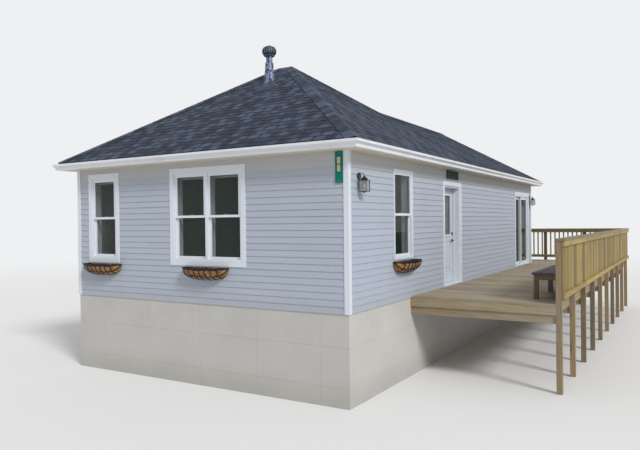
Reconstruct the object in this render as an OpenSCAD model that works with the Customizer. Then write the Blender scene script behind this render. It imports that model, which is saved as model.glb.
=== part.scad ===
// Boathouse with a hip-roofed front block, a gabled rear wing and lap siding,
// and a raised timber deck with a railing along its right side and its rear.
// House frame: X to the right, Y to the rear, Z up. The floor is at Z 0,
// the front wall's outer face at Y 0, and the walls are centred on X 0.

/* [House] */
// Width of the framed walls across the front
house_w = 6100; // [4900:10:7400]
// Length of the framed walls from front to rear
house_l = 12190; // [11900:10:14700]
// Height from the floor to the soffit
soffit_z = 2440; // [2400:10:2940]
// Thickness of the framed walls
wall_t = 190; // [150:5:240]
// Depth of the foundation and the deck posts below the floor
base_drop = 1450; // [700:10:2400]
// Thickness of the foundation walls
foundation_t = 230; // [200:5:300]
// Thickness of the floor slab
floor_t = 120; // [80:5:200]
// Thickness of the ceiling boards
ceiling_t = 20; // [12:1:40]

/* [Siding] */
// Height of one siding course
course_h = 106; // [80:1:200]
// Thickness of a siding board at its lower edge
lap_butt = 16; // [10:1:20]
// Thickness of a siding board at its upper edge
lap_top = 5; // [3:1:8]
// Distance that the siding hangs below the floor line
siding_drop = 25; // [10:1:35]
// Width of the corner boards
corner_w = 85; // [60:5:140]
// Thickness of the corner boards and casings
trim_t = 22; // [18:1:30]

/* [Windows] */
// Height of the window openings' lower edge above the floor
sill_z = 720; // [600:10:800]
// Height of the window openings
win_h = 1530; // [1200:10:1600]
// Width of the single window openings
win_w = 680; // [500:10:820]
// Width of each half of the twin window openings
twin_w = 760; // [600:10:900]
// Width of the slim-framed opening in the right wall
slim_w = 780; // [600:10:900]
// Width of the flat casing boards
casing_w = 90; // [60:5:120]
// Width of the narrow casing on the right wall's window
slim_casing_w = 25; // [15:5:50]
// Face width of the window frames
frame_w = 28; // [20:1:40]
// Depth of the window frames from front to back
frame_d = 95; // [85:5:120]
// Distance that the window frames stand out from the wall
frame_out = 12; // [6:1:18]
// Face width of the sash bars
sash_w = 42; // [30:1:60]
// Face width of the side bars of the right wall's window
slim_sash_w = 28; // [24:1:50]
// Thickness of one sash
sash_t = 32; // [26:1:36]
// Thickness of the window and door glass
glass_t = 6; // [4:1:8]
// Place of the single window's centre across the front wall
front_single_x = -2310; // [-2400:10:-2000]
// Place of the twin window's centre across the front wall
front_twin_x = 290; // [0:10:800]
// Distance of the right wall's window centre from the front wall
right_win_y = 2050; // [1400:10:2600]

/* [Entry door] */
// Distance of the entry door's centre from the front wall
entry_y = 4670; // [4300:10:5600]
// Width of the entry door leaf
leaf_w = 914; // [760:1:1000]
// Height of the entry door leaf
leaf_h = 2032; // [1900:1:2070]
// Thickness of the entry door leaf
leaf_t = 44; // [35:1:50]
// Thickness of the door frame's sides and head
jamb_t = 32; // [20:1:40]
// Height of the threshold
threshold_h = 24; // [15:1:35]
// Running gap all round a moving door
door_gap = 7; // [6:1:9]
// Width of the door stop
stop_w = 35; // [20:1:60]
// Distance that the door stop stands out from the frame
stop_t = 13; // [10:1:18]
// Width of the leaf's sides and top rail beside its glass
stile_w = 150; // [110:5:200]
// Height of the glass above the foot of the leaf
lite_z = 1030; // [900:10:1200]
// Height of the lever handle above the foot of the leaf
lever_z = 900; // [850:10:1000]
// Height of the deadbolt above the lever handle
deadbolt_rise = 150; // [120:5:200]

/* [Patio door] */
// Distance of the patio door's far side from the front wall
patio_end = 11790; // [9800:10:11850]
// Width of the patio door frame
patio_w = 1600; // [1400:4:1840]
// Height of the patio door frame
patio_h = 2100; // [2000:10:2120]
// Face width of the patio door frame
patio_frame_w = 40; // [30:1:50]
// Depth of the patio door frame
patio_frame_d = 125; // [115:5:140]
// Thickness of a patio door panel
panel_t = 38; // [32:1:42]
// Width of a patio panel's side bars
panel_stile_w = 62; // [50:1:80]
// Width of a patio panel's top and bottom bars
panel_rail_w = 80; // [60:1:110]
// Distance that the two panels overlap at the middle
panel_overlap = 56; // [40:1:70]

/* [Roof] */
// Depth of the hip-roofed front block
hip_depth = 5770; // [5000:10:6600]
// Rise of the hip roof for each unit of run
hip_pitch = 0.662; // [0.5:0.001:0.8]
// Distance of the rear ridge below the front ridge
ridge_drop = 285; // [100:5:600]
// Distance that the roof edge reaches beyond the walls
roof_reach = 265; // [255:5:320]
// Distance that the roof reaches beyond the rear wall
rake_reach = 300; // [200:5:400]
// Height of the roof edge above the soffit
eave_rise = 145; // [140:1:180]
// Thickness of the roof boards and shingles, straight down
roof_t = 40; // [30:1:50]
// Distance of the fascia's outer face from the walls
fascia_reach = 230; // [200:5:245]
// Thickness of the fascia
fascia_t = 20; // [15:1:25]
// Thickness of the soffit boards
soffit_t = 10; // [8:1:16]
// Height of the rake boards on the rear gable
rake_h = 140; // [110:5:180]
// Distance of the gutters' top below the roof edge
gutter_drop = 27; // [24:1:60]
// Width of the gutters
gutter_w = 120; // [100:5:150]
// Height of the gutters
gutter_h = 115; // [90:5:130]
// Thickness of the gutter metal
gutter_t = 3; // [2:1:4]

/* [Roof vent] */
// Place of the vent across the roof
vent_x = -20; // [-300:10:300]
// Distance of the vent from the front wall
vent_y = 2330; // [1500:10:2500]
// Outer diameter of the vent pipe
vent_d = 170; // [150:5:260]
// Height of the vent pipe above the roof
vent_h = 360; // [250:10:500]
// Height of the flared skirt round the pipe's foot
skirt_h = 240; // [100:10:300]
// Outer diameter of the neck between the pipe and the turbine head
neck_d = 130; // [110:5:150]
// Height of the neck
neck_h = 130; // [80:5:160]
// Diameter of the turbine head at its widest
turbine_d = 300; // [260:5:400]
// Height of the turbine head
turbine_h = 212; // [200:1:360]
// Number of vanes in the turbine head
vane_n = 18; // [12:1:24]

/* [Deck] */
// Width of the side deck from the wall to the posts
deck_w = 2510; // [1800:10:3200]
// Distance of the side deck's front edge from the front wall
deck_front_y = 2350; // [2000:10:3000]
// Distance that the deck runs on beyond the rear wall
deck_rear = 1810; // [1400:10:2400]
// Thickness of the deck boards
board_t = 38; // [25:1:45]
// Depth of the deck joists and beams
joist_h = 140; // [120:5:240]
// Thickness of the deck joists and beams
joist_t = 38; // [35:1:50]
// Largest distance between deck joists
joist_step = 520; // [300:10:620]
// Width of the square posts
post_w = 89; // [80:1:120]
// Largest distance between posts
post_step = 1310; // [1100:10:1800]
// Height of the railing above the deck
rail_h = 1060; // [900:10:1150]
// Width of the railing's cap board
cap_w = 152; // [146:1:200]
// Thickness of the railing's cap board
cap_t = 38; // [25:1:45]
// Height of the railing's horizontal rails
rail_w = 89; // [60:1:120]
// Height of the lower rail above the deck
rail_low_z = 90; // [60:5:160]
// Width of the side railing's upright boards
picket_w = 140; // [80:1:150]
// Thickness of the side railing's upright boards
picket_t = 19; // [16:1:25]
// Gap between the side railing's upright boards
picket_gap = 8; // [4:1:20]
// Width of the square balusters at the rear
baluster_w = 38; // [30:1:45]
// Largest distance between balusters
baluster_step = 140; // [110:5:180]

/* [Bench] */
// Length of the bench
bench_l = 2650; // [2200:10:3200]
// Width of the bench
bench_w = 480; // [300:10:560]
// Height of the bench
bench_h = 460; // [400:10:520]
// Distance of the bench's front end from the front wall
bench_y = 2850; // [2600:10:4000]
// Width of the bench legs
bench_leg_w = 75; // [60:1:100]
// Number of bench legs
bench_leg_n = 3; // [2:1:4]

/* [Fittings] */
// Length of a planter basket
basket_l = 970; // [600:10:1100]
// Depth and height of a planter basket
basket_r = 215; // [150:5:240]
// Thickness of the basket liner
liner_t = 14; // [8:1:20]
// Thickness of the basket's iron straps
bar_t = 7; // [5:1:10]
// Width of the basket's iron straps
strap_w = 16; // [8:1:24]
// Number of upright straps on a basket
basket_bar_n = 7; // [5:2:11]
// Width of the upright sign plate on the front wall
plate_w = 130; // [80:5:160]
// Height of the upright sign plate on the front wall
plate_h = 470; // [300:10:520]
// Width of the sign board over the entry door
sign_w = 690; // [400:10:800]
// Height of the sign board over the entry door
sign_h = 180; // [100:5:200]
// Height of the lanterns' wall plates above the floor
lantern_z = 2066; // [1700:2:2100]
// Distance of the front lantern from the front wall
lantern_y = 330; // [250:10:600]
// Distance of a lantern's middle from the siding
lantern_out = 95; // [90:5:170]
// Width of a lantern's cage
lantern_w = 130; // [90:5:150]
// Height of a lantern's cage
lantern_h = 176; // [120:2:220]
// Width of the space between the signs and the soffit
sign_gap = 15; // [5:1:40]

/* [Hidden] */
$fn = 48;

// Hairline joint between boards that butt against each other
hair = 0.3;
// Overcut that carries a cutting shape past the face it opens
over = 10;
FRONT = 0;
RIGHT = 1;
REAR = 2;
LEFT = 3;

half_w = house_w / 2;
wall_top = soffit_z + soffit_t;
eave_z = soffit_z + eave_rise;
hip_run = min(house_w, hip_depth) / 2 + roof_reach;
front_ridge_z = eave_z + hip_pitch * hip_run;
rear_ridge_z = front_ridge_z - ridge_drop;
gable_pitch = (rear_ridge_z - eave_z) / (half_w + roof_reach);
fascia_in = fascia_reach - fascia_t;
fascia_low = soffit_z;
gutter_reach = fascia_reach + gutter_w;
gutter_top = eave_z - gutter_drop;
rake_t = 25;

entry_open_w = leaf_w + 2 * door_gap + 2 * jamb_t;
entry_open_h = threshold_h + leaf_h + 2 * door_gap + jamb_t;
entry_lo = entry_y - entry_open_w / 2;
entry_hi = entry_y + entry_open_w / 2;
patio_hi = patio_end;
patio_lo = patio_hi - patio_w;
leaf_d = wall_t - leaf_t;
leaf_u0 = entry_lo + jamb_t + door_gap;
leaf_u1 = entry_hi - jamb_t - door_gap;
leaf_z0 = threshold_h + door_gap;
leaf_z1 = leaf_z0 + leaf_h;
// Hinges: their distance from the leaf's ends, one knuckle's radius and length,
// and the strap's thickness and its reach past the running gap
hinge_inset = 230;
hinge_r = 9;
hinge_step = 34;
strap_t = 4;
strap_l = 26;
hinge_zs = [threshold_h + hinge_inset, threshold_h + leaf_h / 2,
    threshold_h + leaf_h - hinge_inset];
hinge_y = entry_lo + jamb_t + door_gap / 2;
hinge_d = wall_t + hinge_r + hair;

// Each window: wall, centre along the wall, width of one light, lights, casing width,
// face width of the sashes' side bars
windows = [
    [FRONT, front_single_x, win_w, 1, casing_w, sash_w],
    [FRONT, front_twin_x, twin_w, 2, casing_w, sash_w],
    [RIGHT, right_win_y, slim_w, 1, slim_casing_w, slim_sash_w],
    [REAR, 0, twin_w, 2, casing_w, sash_w],
    [LEFT, house_l - right_win_y, win_w, 1, casing_w, sash_w],
    [LEFT, house_l / 2, win_w, 1, casing_w, sash_w],
    [LEFT, right_win_y, win_w, 1, casing_w, sash_w]];
// Windows that carry a planter basket
planted = [windows[0], windows[1], windows[2]];
// Depth of the upper sashes' outer face, and the gap between the two sashes
sash_set = 2;
sash_gap = 3;
sash_mid = sill_z + win_h / 2;
// Each sash: its low and high edge and the depth of its outer face
sashes = [
    [sash_mid - sash_w / 2, sill_z + win_h - frame_w - hair, sash_set],
    [sill_z + frame_w + hair, sash_mid + sash_w / 2, sash_set + sash_t + sash_gap]];

// Patio panels: depths of their outer faces, their ends and the slider's track
fixed_d = 18;
panel_gap = 8;
slider_d = fixed_d + panel_t + panel_gap;
panel_w = (patio_w - 2 * patio_frame_w + panel_overlap) / 2;
panel_z0 = patio_frame_w + door_gap;
panel_z1 = patio_h - patio_frame_w - door_gap;
fixed_u0 = patio_hi - patio_frame_w - hair - panel_w;
slider_u0 = patio_lo + patio_frame_w + door_gap;
track_w = 6;
track_h = 12;

// Vent: its foot on the roof, the tops of the pipe and the neck, and the turbine's foot
vent_base = hip_z(vent_x, vent_y);
pipe_top = vent_base + vent_h;
neck_top = pipe_top + neck_h;
turbine_gap = 8;
turbine_z = neck_top + turbine_gap;
// The vanes' height, and the fixed shaft with its cross inside the neck
vane_h = turbine_h * 0.86;
shaft_r = 6;
shaft_gap = 6;
cross_drop = 16;
shaft_h = cross_drop + vane_h - shaft_gap;

// Drop of a basket's rim below the casing
rim_drop = 22;

// The rear lantern hangs midway between the patio door's casing and the corner board
lantern_ys = [lantern_y, (patio_hi + casing_w + house_l + trim_t - corner_w) / 2];
// Lantern: drop of its cage below the wall plate's middle, and its bars, lid and floor
cage_drop = 65;
lantern_bar = 8;
lantern_lid = 6;

deck_gap = 6;
deck_x0 = half_w + trim_t + deck_gap;
deck_rear_y = house_l + trim_t + deck_gap;
deck_x1 = half_w + deck_w;
deck_y1 = house_l + deck_rear;
post_x = deck_x1 + post_w / 2;
post_y0 = deck_front_y + post_w / 2;
post_y1 = deck_y1 + post_w / 2;
post_x0 = -half_w + post_w / 2;
side_bays = ceil((post_y1 - post_y0) / post_step);
rear_bays = ceil((post_x - post_x0) / post_step);
side_post_ys = [for (i = [0 : side_bays]) post_y0 + i * (post_y1 - post_y0) / side_bays];
rear_post_xs = [for (i = [0 : rear_bays]) post_x0 + i * (post_x - post_x0) / rear_bays];
cap_z = rail_h - cap_t;
cap_over = 12;

x_min = -half_w - gutter_reach;
x_max = post_x - post_w / 2 + cap_w;
y_min = -gutter_reach;
y_max = post_y1 + post_w / 2 + cap_over;

// Moves the house frame to the middle of the footprint, at the foundation's foot
module in_place() {
    translate([-(x_min + x_max) / 2, -(y_min + y_max) / 2, base_drop])
        children();
}

// Box from its lowest to its highest corner
module block(lo, hi) {
    translate(lo)
        cube(hi - lo);
}

// Local frame of a wall: X along it, Y into the house from its outer face, Z up.
// The front and rear walls are measured from their middle, the side walls from
// the end that lies on the left when seen from outside.
module on_wall(side) {
    if (side == FRONT)
        children();
    if (side == RIGHT)
        translate([half_w, 0, 0])
            rotate(90)
                children();
    if (side == REAR)
        translate([0, house_l, 0])
            rotate(180)
                children();
    if (side == LEFT)
        translate([-half_w, house_l, 0])
            rotate(-90)
                children();
}

// Width of a whole window opening
function open_w(win) = win[2] * win[3];

// Upright box in a wall's frame: along X from u0 to u1, depths d0 to d1
module wall_box(u0, u1, d0, d1, z0, z1) {
    block([u0, d0, z0], [u1, d1, z1]);
}

// Holes of the windows in one wall, each grown by the given margin
module window_holes(side, margin, d0, d1) {
    for (win = windows)
        if (win[0] == side)
            translate([win[1], 0, 0])
                wall_box(-open_w(win) / 2 - margin * win[4], open_w(win) / 2 + margin * win[4],
                    d0, d1, sill_z - margin * win[4], sill_z + win_h + margin * win[4]);
}

// Outline of a pitched roof seen along its ridge, lowered by drop
module tent(half_run, pitch, drop, low) {
    polygon([[-half_run, low], [half_run, low], [half_run, eave_z - drop],
        [0, eave_z - drop + pitch * half_run], [-half_run, eave_z - drop]]);
}

// Hip roof over the front block, as a solid that reaches down to low
module hip_solid(drop, low) {
    intersection() {
        translate([0, hip_depth + roof_reach, 0])
            rotate([90, 0, 0])
                linear_extrude(hip_depth + 2 * roof_reach)
                    tent(half_w + roof_reach, hip_pitch, drop, low);
        translate([-half_w - roof_reach, hip_depth / 2, 0])
            rotate([90, 0, 90])
                linear_extrude(house_w + 2 * roof_reach)
                    tent(hip_depth / 2 + roof_reach, hip_pitch, drop, low);
    }
}

// Slice of the rear gable roof between two distances from the front wall
module gable_solid(y0, y1, drop, low) {
    translate([0, y1, 0])
        rotate([90, 0, 0])
            linear_extrude(y1 - y0)
                tent(half_w + roof_reach, gable_pitch, drop, low);
}

// Rear gable roof's surface height at a distance from its ridge
function gable_z(x) = eave_z + gable_pitch * (half_w + roof_reach - x);

// Strip along one slope of the gable, between two depths below its surface
module gable_band(x0, x1, low_drop, high_drop) {
    polygon([[x0, gable_z(x0) - low_drop], [x1, gable_z(x1) - low_drop],
        [x1, gable_z(x1) - high_drop], [x0, gable_z(x0) - high_drop]]);
}

// Roof surface height at a point of the front block
function hip_z(x, y) = eave_z + hip_pitch * (roof_reach
    + min(half_w - abs(x), y, hip_depth - y));

module foundation() {
    color("lightgray")
        in_place()
            for (side = [-1, 1]) {
                translate([0, side > 0 ? house_l - foundation_t : 0, 0])
                    block([-half_w, 0, -base_drop], [half_w, foundation_t, 0]);
                translate([side > 0 ? half_w - foundation_t : -half_w, 0, 0])
                    block([0, foundation_t + hair, -base_drop],
                        [foundation_t, house_l - foundation_t - hair, 0]);
            }
}

module floor_slab() {
    inner = foundation_t + hair;
    color("tan")
        in_place()
            block([-half_w + inner, inner, -floor_t], [half_w - inner, house_l - inner, 0]);
}

module front_wall() {
    color("gainsboro")
        in_place()
            difference() {
                block([-half_w, 0, 0], [half_w, wall_t, wall_top]);
                on_wall(FRONT)
                    window_holes(FRONT, 0, -over, wall_t + over);
            }
}

module left_wall() {
    color("gainsboro")
        in_place()
            difference() {
                block([-half_w, wall_t, 0], [-half_w + wall_t, house_l - wall_t, wall_top]);
                on_wall(LEFT)
                    window_holes(LEFT, 0, -over, wall_t + over);
            }
}

module rear_wall() {
    color("gainsboro")
        in_place()
            difference() {
                intersection() {
                    gable_solid(house_l - wall_t, house_l, roof_t, 0);
                    block([-half_w, 0, 0], [half_w, house_l + over, rear_ridge_z]);
                }
                on_wall(REAR)
                    window_holes(REAR, 0, -over, wall_t + over);
            }
}

// Stretch of the right wall between two distances from the front wall
module right_stretch(y0, y1, z0 = 0) {
    block([half_w - wall_t, y0, z0], [half_w, y1, wall_top]);
}

module right_wall_front() {
    color("gainsboro")
        in_place()
            difference() {
                right_stretch(wall_t, entry_lo);
                on_wall(RIGHT)
                    window_holes(RIGHT, 0, -over, wall_t + over);
            }
}

module right_wall_middle() {
    color("gainsboro")
        in_place()
            right_stretch(entry_hi, patio_lo);
}

module right_wall_rear() {
    color("gainsboro")
        in_place()
            right_stretch(patio_hi, house_l - wall_t);
}

module door_heads() {
    color("gainsboro")
        in_place() {
            right_stretch(entry_lo, entry_hi, entry_open_h);
            right_stretch(patio_lo, patio_hi, patio_h);
        }
}

// Blocking on the outer half of the walls, cut to the roof's underside
module wall_plates() {
    bearing = wall_t / 2;
    color("burlywood")
        in_place()
            intersection() {
                under_roof(house_l, wall_top - over);
                union() {
                    block([-half_w, 0, wall_top], [half_w, bearing, front_ridge_z]);
                    for (side = [-1, 1])
                        translate([side * (half_w - bearing / 2), 0, 0])
                            block([-bearing / 2, bearing + hair, wall_top],
                                [bearing / 2, house_l - wall_t, front_ridge_z]);
                }
            }
}

module ceiling() {
    inset = wall_t / 2 + hair;
    color("whitesmoke")
        in_place()
            block([-half_w + inset, inset, wall_top],
                [half_w - inset, house_l - wall_t, wall_top + ceiling_t]);
}

// Sawtooth outline of lap siding: X outward from the wall, Y up
module lap_profile(height) {
    courses = ceil((height + siding_drop) / course_h);
    intersection() {
        translate([0, -siding_drop])
            polygon([[0, 0],
                for (i = [0 : courses - 1])
                    each [[lap_butt, i * course_h], [lap_top, (i + 1) * course_h]],
                [0, courses * course_h]]);
        translate([0, -siding_drop])
            square([lap_butt, height + siding_drop]);
    }
}

// Sheet of lap siding along a wall's frame from u0 to u1
module lap_sheet(u0, u1, height) {
    translate([u0, 0, 0])
        rotate([90, 0, 90])
            linear_extrude(u1 - u0)
                mirror([1, 0])
                    lap_profile(height);
}

module siding() {
    edge = corner_w - trim_t;
    gable_drop = roof_t + rake_h - over;
    color("lightsteelblue")
        in_place() {
            on_wall(FRONT)
                difference() {
                    lap_sheet(-half_w + edge, half_w - edge, soffit_z);
                    window_holes(FRONT, 1, -trim_t - over, over);
                }
            on_wall(RIGHT)
                difference() {
                    lap_sheet(edge, house_l - edge, soffit_z);
                    window_holes(RIGHT, 1, -trim_t - over, over);
                    door_hole(entry_lo, entry_hi, entry_open_h);
                    door_hole(patio_lo, patio_hi, patio_h);
                }
            on_wall(LEFT)
                difference() {
                    lap_sheet(edge, house_l - edge, soffit_z);
                    window_holes(LEFT, 1, -trim_t - over, over);
                }
            intersection() {
                on_wall(REAR)
                    difference() {
                        lap_sheet(-half_w + edge, half_w - edge, rear_ridge_z);
                        window_holes(REAR, 1, -trim_t - over, over);
                    }
                gable_solid(house_l - over, house_l + trim_t + over, gable_drop, -siding_drop);
            }
        }
}

// Hole in the right wall's siding for a door with its casing
module door_hole(u0, u1, z1) {
    wall_box(u0 - casing_w, u1 + casing_w, -trim_t - over, over, -over - siding_drop,
        z1 + casing_w);
}

module corner_boards() {
    edge = corner_w - trim_t;
    color("white")
        in_place()
            for (sx = [-1, 1], sy = [0, 1])
                translate([sx * half_w, sy * house_l, -siding_drop])
                    scale([sx, sy > 0 ? 1 : -1, 1])
                        linear_extrude(soffit_z + siding_drop)
                            polygon([[0, 0], [0, -edge], [trim_t, -edge], [trim_t, trim_t],
                                [-edge, trim_t], [-edge, 0]]);
}

// Four casing boards round an opening, in a wall's frame
module casing_boards(u0, u1, z0, z1, board, foot) {
    wall_box(u0 - board, u1 + board, -trim_t, 0, z1 + hair, z1 + board);
    for (side = [0, 1])
        translate([side > 0 ? u1 : u0 - board, 0, 0])
            wall_box(0, board, -trim_t, 0, z0, z1);
    if (foot)
        wall_box(u0 - board, u1 + board, -trim_t, 0, z0 - board, z0 - hair);
}

module casings() {
    color("white")
        in_place() {
            for (win = windows)
                on_wall(win[0])
                    casing_boards(win[1] - open_w(win) / 2, win[1] + open_w(win) / 2,
                        sill_z, sill_z + win_h, win[4], true);
            on_wall(RIGHT) {
                casing_boards(entry_lo, entry_hi, 0, entry_open_h, casing_w, false);
                casing_boards(patio_lo, patio_hi, 0, patio_h, casing_w, false);
            }
        }
}

// Runs its children once for each light of a window, at the light's centre
module each_light(win) {
    for (i = [0 : win[3] - 1])
        translate([win[1] + (i - (win[3] - 1) / 2) * win[2], 0, 0])
            children();
}

module window_frames() {
    color("white")
        in_place()
            for (win = windows)
                on_wall(win[0])
                    difference() {
                        translate([win[1], 0, 0])
                            wall_box(-open_w(win) / 2 + hair, open_w(win) / 2 - hair,
                                -frame_out, frame_d - frame_out, sill_z + hair,
                                sill_z + win_h - hair);
                        each_light(win)
                            wall_box(-win[2] / 2 + frame_w, win[2] / 2 - frame_w,
                                -frame_out - over, frame_d, sill_z + frame_w,
                                sill_z + win_h - frame_w);
                    }
}

module window_sashes() {
    color("white")
        in_place()
            for (win = windows, sash = sashes)
                on_wall(win[0])
                    each_light(win) {
                        reach = win[2] / 2 - frame_w - hair;
                        difference() {
                            wall_box(-reach, reach, sash[2], sash[2] + sash_t, sash[0], sash[1]);
                            wall_box(-reach + win[5], reach - win[5], sash[2] - over,
                                sash[2] + sash_t + over, sash[0] + sash_w, sash[1] - sash_w);
                        }
                    }
}

module window_glass() {
    color("slategray", 0.5)
        in_place() {
            for (win = windows, sash = sashes)
                on_wall(win[0])
                    each_light(win) {
                        reach = win[2] / 2 - frame_w - win[5] - 2 * hair;
                        mid = sash[2] + sash_t / 2;
                        wall_box(-reach, reach, mid - glass_t / 2, mid + glass_t / 2,
                            sash[0] + sash_w + hair, sash[1] - sash_w - hair);
                    }
            on_wall(RIGHT)
                panel_glass(fixed_u0, fixed_d);
        }
}

// Frame of the entry door with its stops, threshold and fixed hinge knuckles
module entry_frame() {
    head_z = entry_open_h - jamb_t;
    stop_d = leaf_d - door_gap;
    color("white")
        in_place()
            on_wall(RIGHT) {
                for (side = [0, 1])
                    translate([side > 0 ? entry_hi - hair : entry_lo + hair, 0, 0])
                        scale([side > 0 ? -1 : 1, 1, 1]) {
                            block([0, 0, threshold_h + hair], [jamb_t - hair, wall_t, head_z]);
                            block([0, stop_d - stop_w, threshold_h + hair],
                                [jamb_t + stop_t, stop_d, head_z]);
                        }
                wall_box(entry_lo + hair, entry_hi - hair, 0, wall_t, head_z + hair,
                    entry_open_h - hair);
                wall_box(entry_lo + jamb_t + stop_t + 2 * hair, entry_hi - jamb_t - stop_t - 2 * hair,
                    stop_d - stop_w, stop_d, head_z - stop_t, head_z);
                wall_box(entry_lo + hair, entry_hi - hair, -trim_t, wall_t, 0, threshold_h);
                for (z = hinge_zs)
                    for (end = [-1, 1])
                        hinge_knuckle(z + end * hinge_step, true);
            }
}

// One knuckle of a hinge with the strap that ties it to the frame or the leaf
module hinge_knuckle(z, fixed) {
    reach = door_gap / 2 + strap_l;
    translate([hinge_y, hinge_d, z - hinge_step / 2 + hair]) {
        cylinder(r = hinge_r, h = hinge_step - 2 * hair);
        translate([fixed ? -reach : 0, -hinge_r, 0])
            cube([reach, strap_t, hinge_step - 2 * hair]);
    }
}

// Half-glazed leaf with a raised panel below its glass
module entry_door() {
    groove = 60;
    sink = 8;
    foot = leaf_z0 + 250;
    head = leaf_z0 + lite_z - stile_w;
    color("aliceblue")
        in_place()
            on_wall(RIGHT)
                difference() {
                    wall_box(leaf_u0, leaf_u1, leaf_d, wall_t, leaf_z0, leaf_z1);
                    wall_box(leaf_u0 + stile_w, leaf_u1 - stile_w, leaf_d - over, wall_t + over,
                        leaf_z0 + lite_z, leaf_z1 - stile_w);
                    for (side = [0, 1])
                        translate([0, side * (leaf_t - sink), 0])
                            difference() {
                                wall_box(leaf_u0 + stile_w, leaf_u1 - stile_w, leaf_d - side,
                                    leaf_d + sink, foot, head);
                                wall_box(leaf_u0 + stile_w + groove, leaf_u1 - stile_w - groove,
                                    leaf_d - over, leaf_d + over, foot + groove, head - groove);
                            }
                }
}

module entry_glass() {
    mid = leaf_d + leaf_t / 2;
    color("slategray", 0.5)
        in_place()
            on_wall(RIGHT)
                wall_box(leaf_u0 + stile_w + hair, leaf_u1 - stile_w - hair, mid - glass_t / 2,
                    mid + glass_t / 2, leaf_z0 + lite_z + hair, leaf_z1 - stile_w - hair);
}

// Lever handles, deadbolt and the leaf's hinge knuckles
module entry_hardware() {
    lock_u = leaf_u1 - 70;
    rose_d = 64;
    grip_d = 18;
    grip_out = 46;
    grip_l = 115;
    bolt_d = 60;
    bolt_h = 20;
    color("dimgray")
        in_place()
            on_wall(RIGHT) {
                for (side = [-1, 1])
                    translate([lock_u, leaf_d + leaf_t / 2 + side * leaf_t / 2, leaf_z0 + lever_z])
                        rotate([-90 * side, 0, 0]) {
                            cylinder(d = rose_d, h = grip_d / 2);
                            cylinder(d = grip_d + 2, h = grip_out + grip_d / 2);
                            translate([0, 0, grip_out])
                                rotate([0, -90, 0])
                                    cylinder(d = grip_d, h = grip_l);
                            translate([0, -side * deadbolt_rise, 0])
                                cylinder(d = bolt_d, h = bolt_h);
                        }
                for (z = hinge_zs)
                    hinge_knuckle(z, false);
            }
}

// Frame of the patio door, with the raised track that carries the sliding panel
module patio_frame() {
    color("white")
        in_place()
            on_wall(RIGHT) {
                for (side = [0, 1])
                    translate([side > 0 ? patio_hi - patio_frame_w : patio_lo + hair, 0, 0])
                        wall_box(0, patio_frame_w - hair, -frame_out, patio_frame_d - frame_out,
                            patio_frame_w + hair, patio_h - patio_frame_w - hair);
                for (z = [0, patio_h - patio_frame_w])
                    wall_box(patio_lo + hair, patio_hi - hair, -frame_out,
                        patio_frame_d - frame_out, z + hair, z + patio_frame_w);
                wall_box(patio_lo + patio_frame_w + hair, patio_hi - patio_frame_w - hair,
                    slider_d + (panel_t - track_w) / 2, slider_d + (panel_t + track_w) / 2,
                    patio_frame_w, patio_frame_w + track_h);
                wall_box(fixed_u0, fixed_u0 + panel_w, fixed_d, fixed_d + panel_t,
                    patio_frame_w, panel_z0 - hair);
                wall_box(fixed_u0, fixed_u0 + panel_w, fixed_d, fixed_d + panel_t,
                    panel_z1 + hair, patio_h - patio_frame_w + over / 2);
            }
}

// Glazed panel of the patio door, without its glass
module panel(u0, d0) {
    difference() {
        wall_box(u0, u0 + panel_w, d0, d0 + panel_t, panel_z0, panel_z1);
        wall_box(u0 + panel_stile_w, u0 + panel_w - panel_stile_w, d0 - over, d0 + panel_t + over,
            panel_z0 + panel_rail_w, panel_z1 - panel_rail_w);
    }
}

module panel_glass(u0, d0) {
    wall_box(u0 + panel_stile_w + hair, u0 + panel_w - panel_stile_w - hair,
        d0 + (panel_t - glass_t) / 2, d0 + (panel_t + glass_t) / 2,
        panel_z0 + panel_rail_w + hair, panel_z1 - panel_rail_w - hair);
}

module patio_fixed_panel() {
    color("white")
        in_place()
            on_wall(RIGHT)
                panel(fixed_u0, fixed_d);
}

// Sliding panel with its pull and the groove that straddles the track
module patio_slider() {
    groove = track_w + 2 * door_gap;
    pull_inset = (panel_stile_w - 26) / 2;
    pull_w = 26;
    pull_out = 32;
    pull_z = [900, 1150];
    color("white")
        in_place()
            on_wall(RIGHT) {
                difference() {
                    panel(slider_u0, slider_d);
                    wall_box(slider_u0 - over, slider_u0 + panel_w + over,
                        slider_d + (panel_t - groove) / 2, slider_d + (panel_t + groove) / 2,
                        panel_z0 - over, patio_frame_w + track_h + hair);
                }
                wall_box(slider_u0 + pull_inset, slider_u0 + pull_inset + pull_w,
                    slider_d + panel_t, slider_d + panel_t + pull_out, pull_z[0], pull_z[1]);
            }
}

module patio_slider_glass() {
    color("slategray", 0.5)
        in_place()
            on_wall(RIGHT)
                panel_glass(slider_u0, slider_d);
}

// Cross-section of the boards of one hip slope: X inward from its edge, Y up
module hip_band() {
    run = hip_run - hair;
    polygon([[0, eave_z - roof_t], [run, eave_z - roof_t + hip_pitch * run],
        [run, eave_z + hip_pitch * run], [0, eave_z]]);
}

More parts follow.
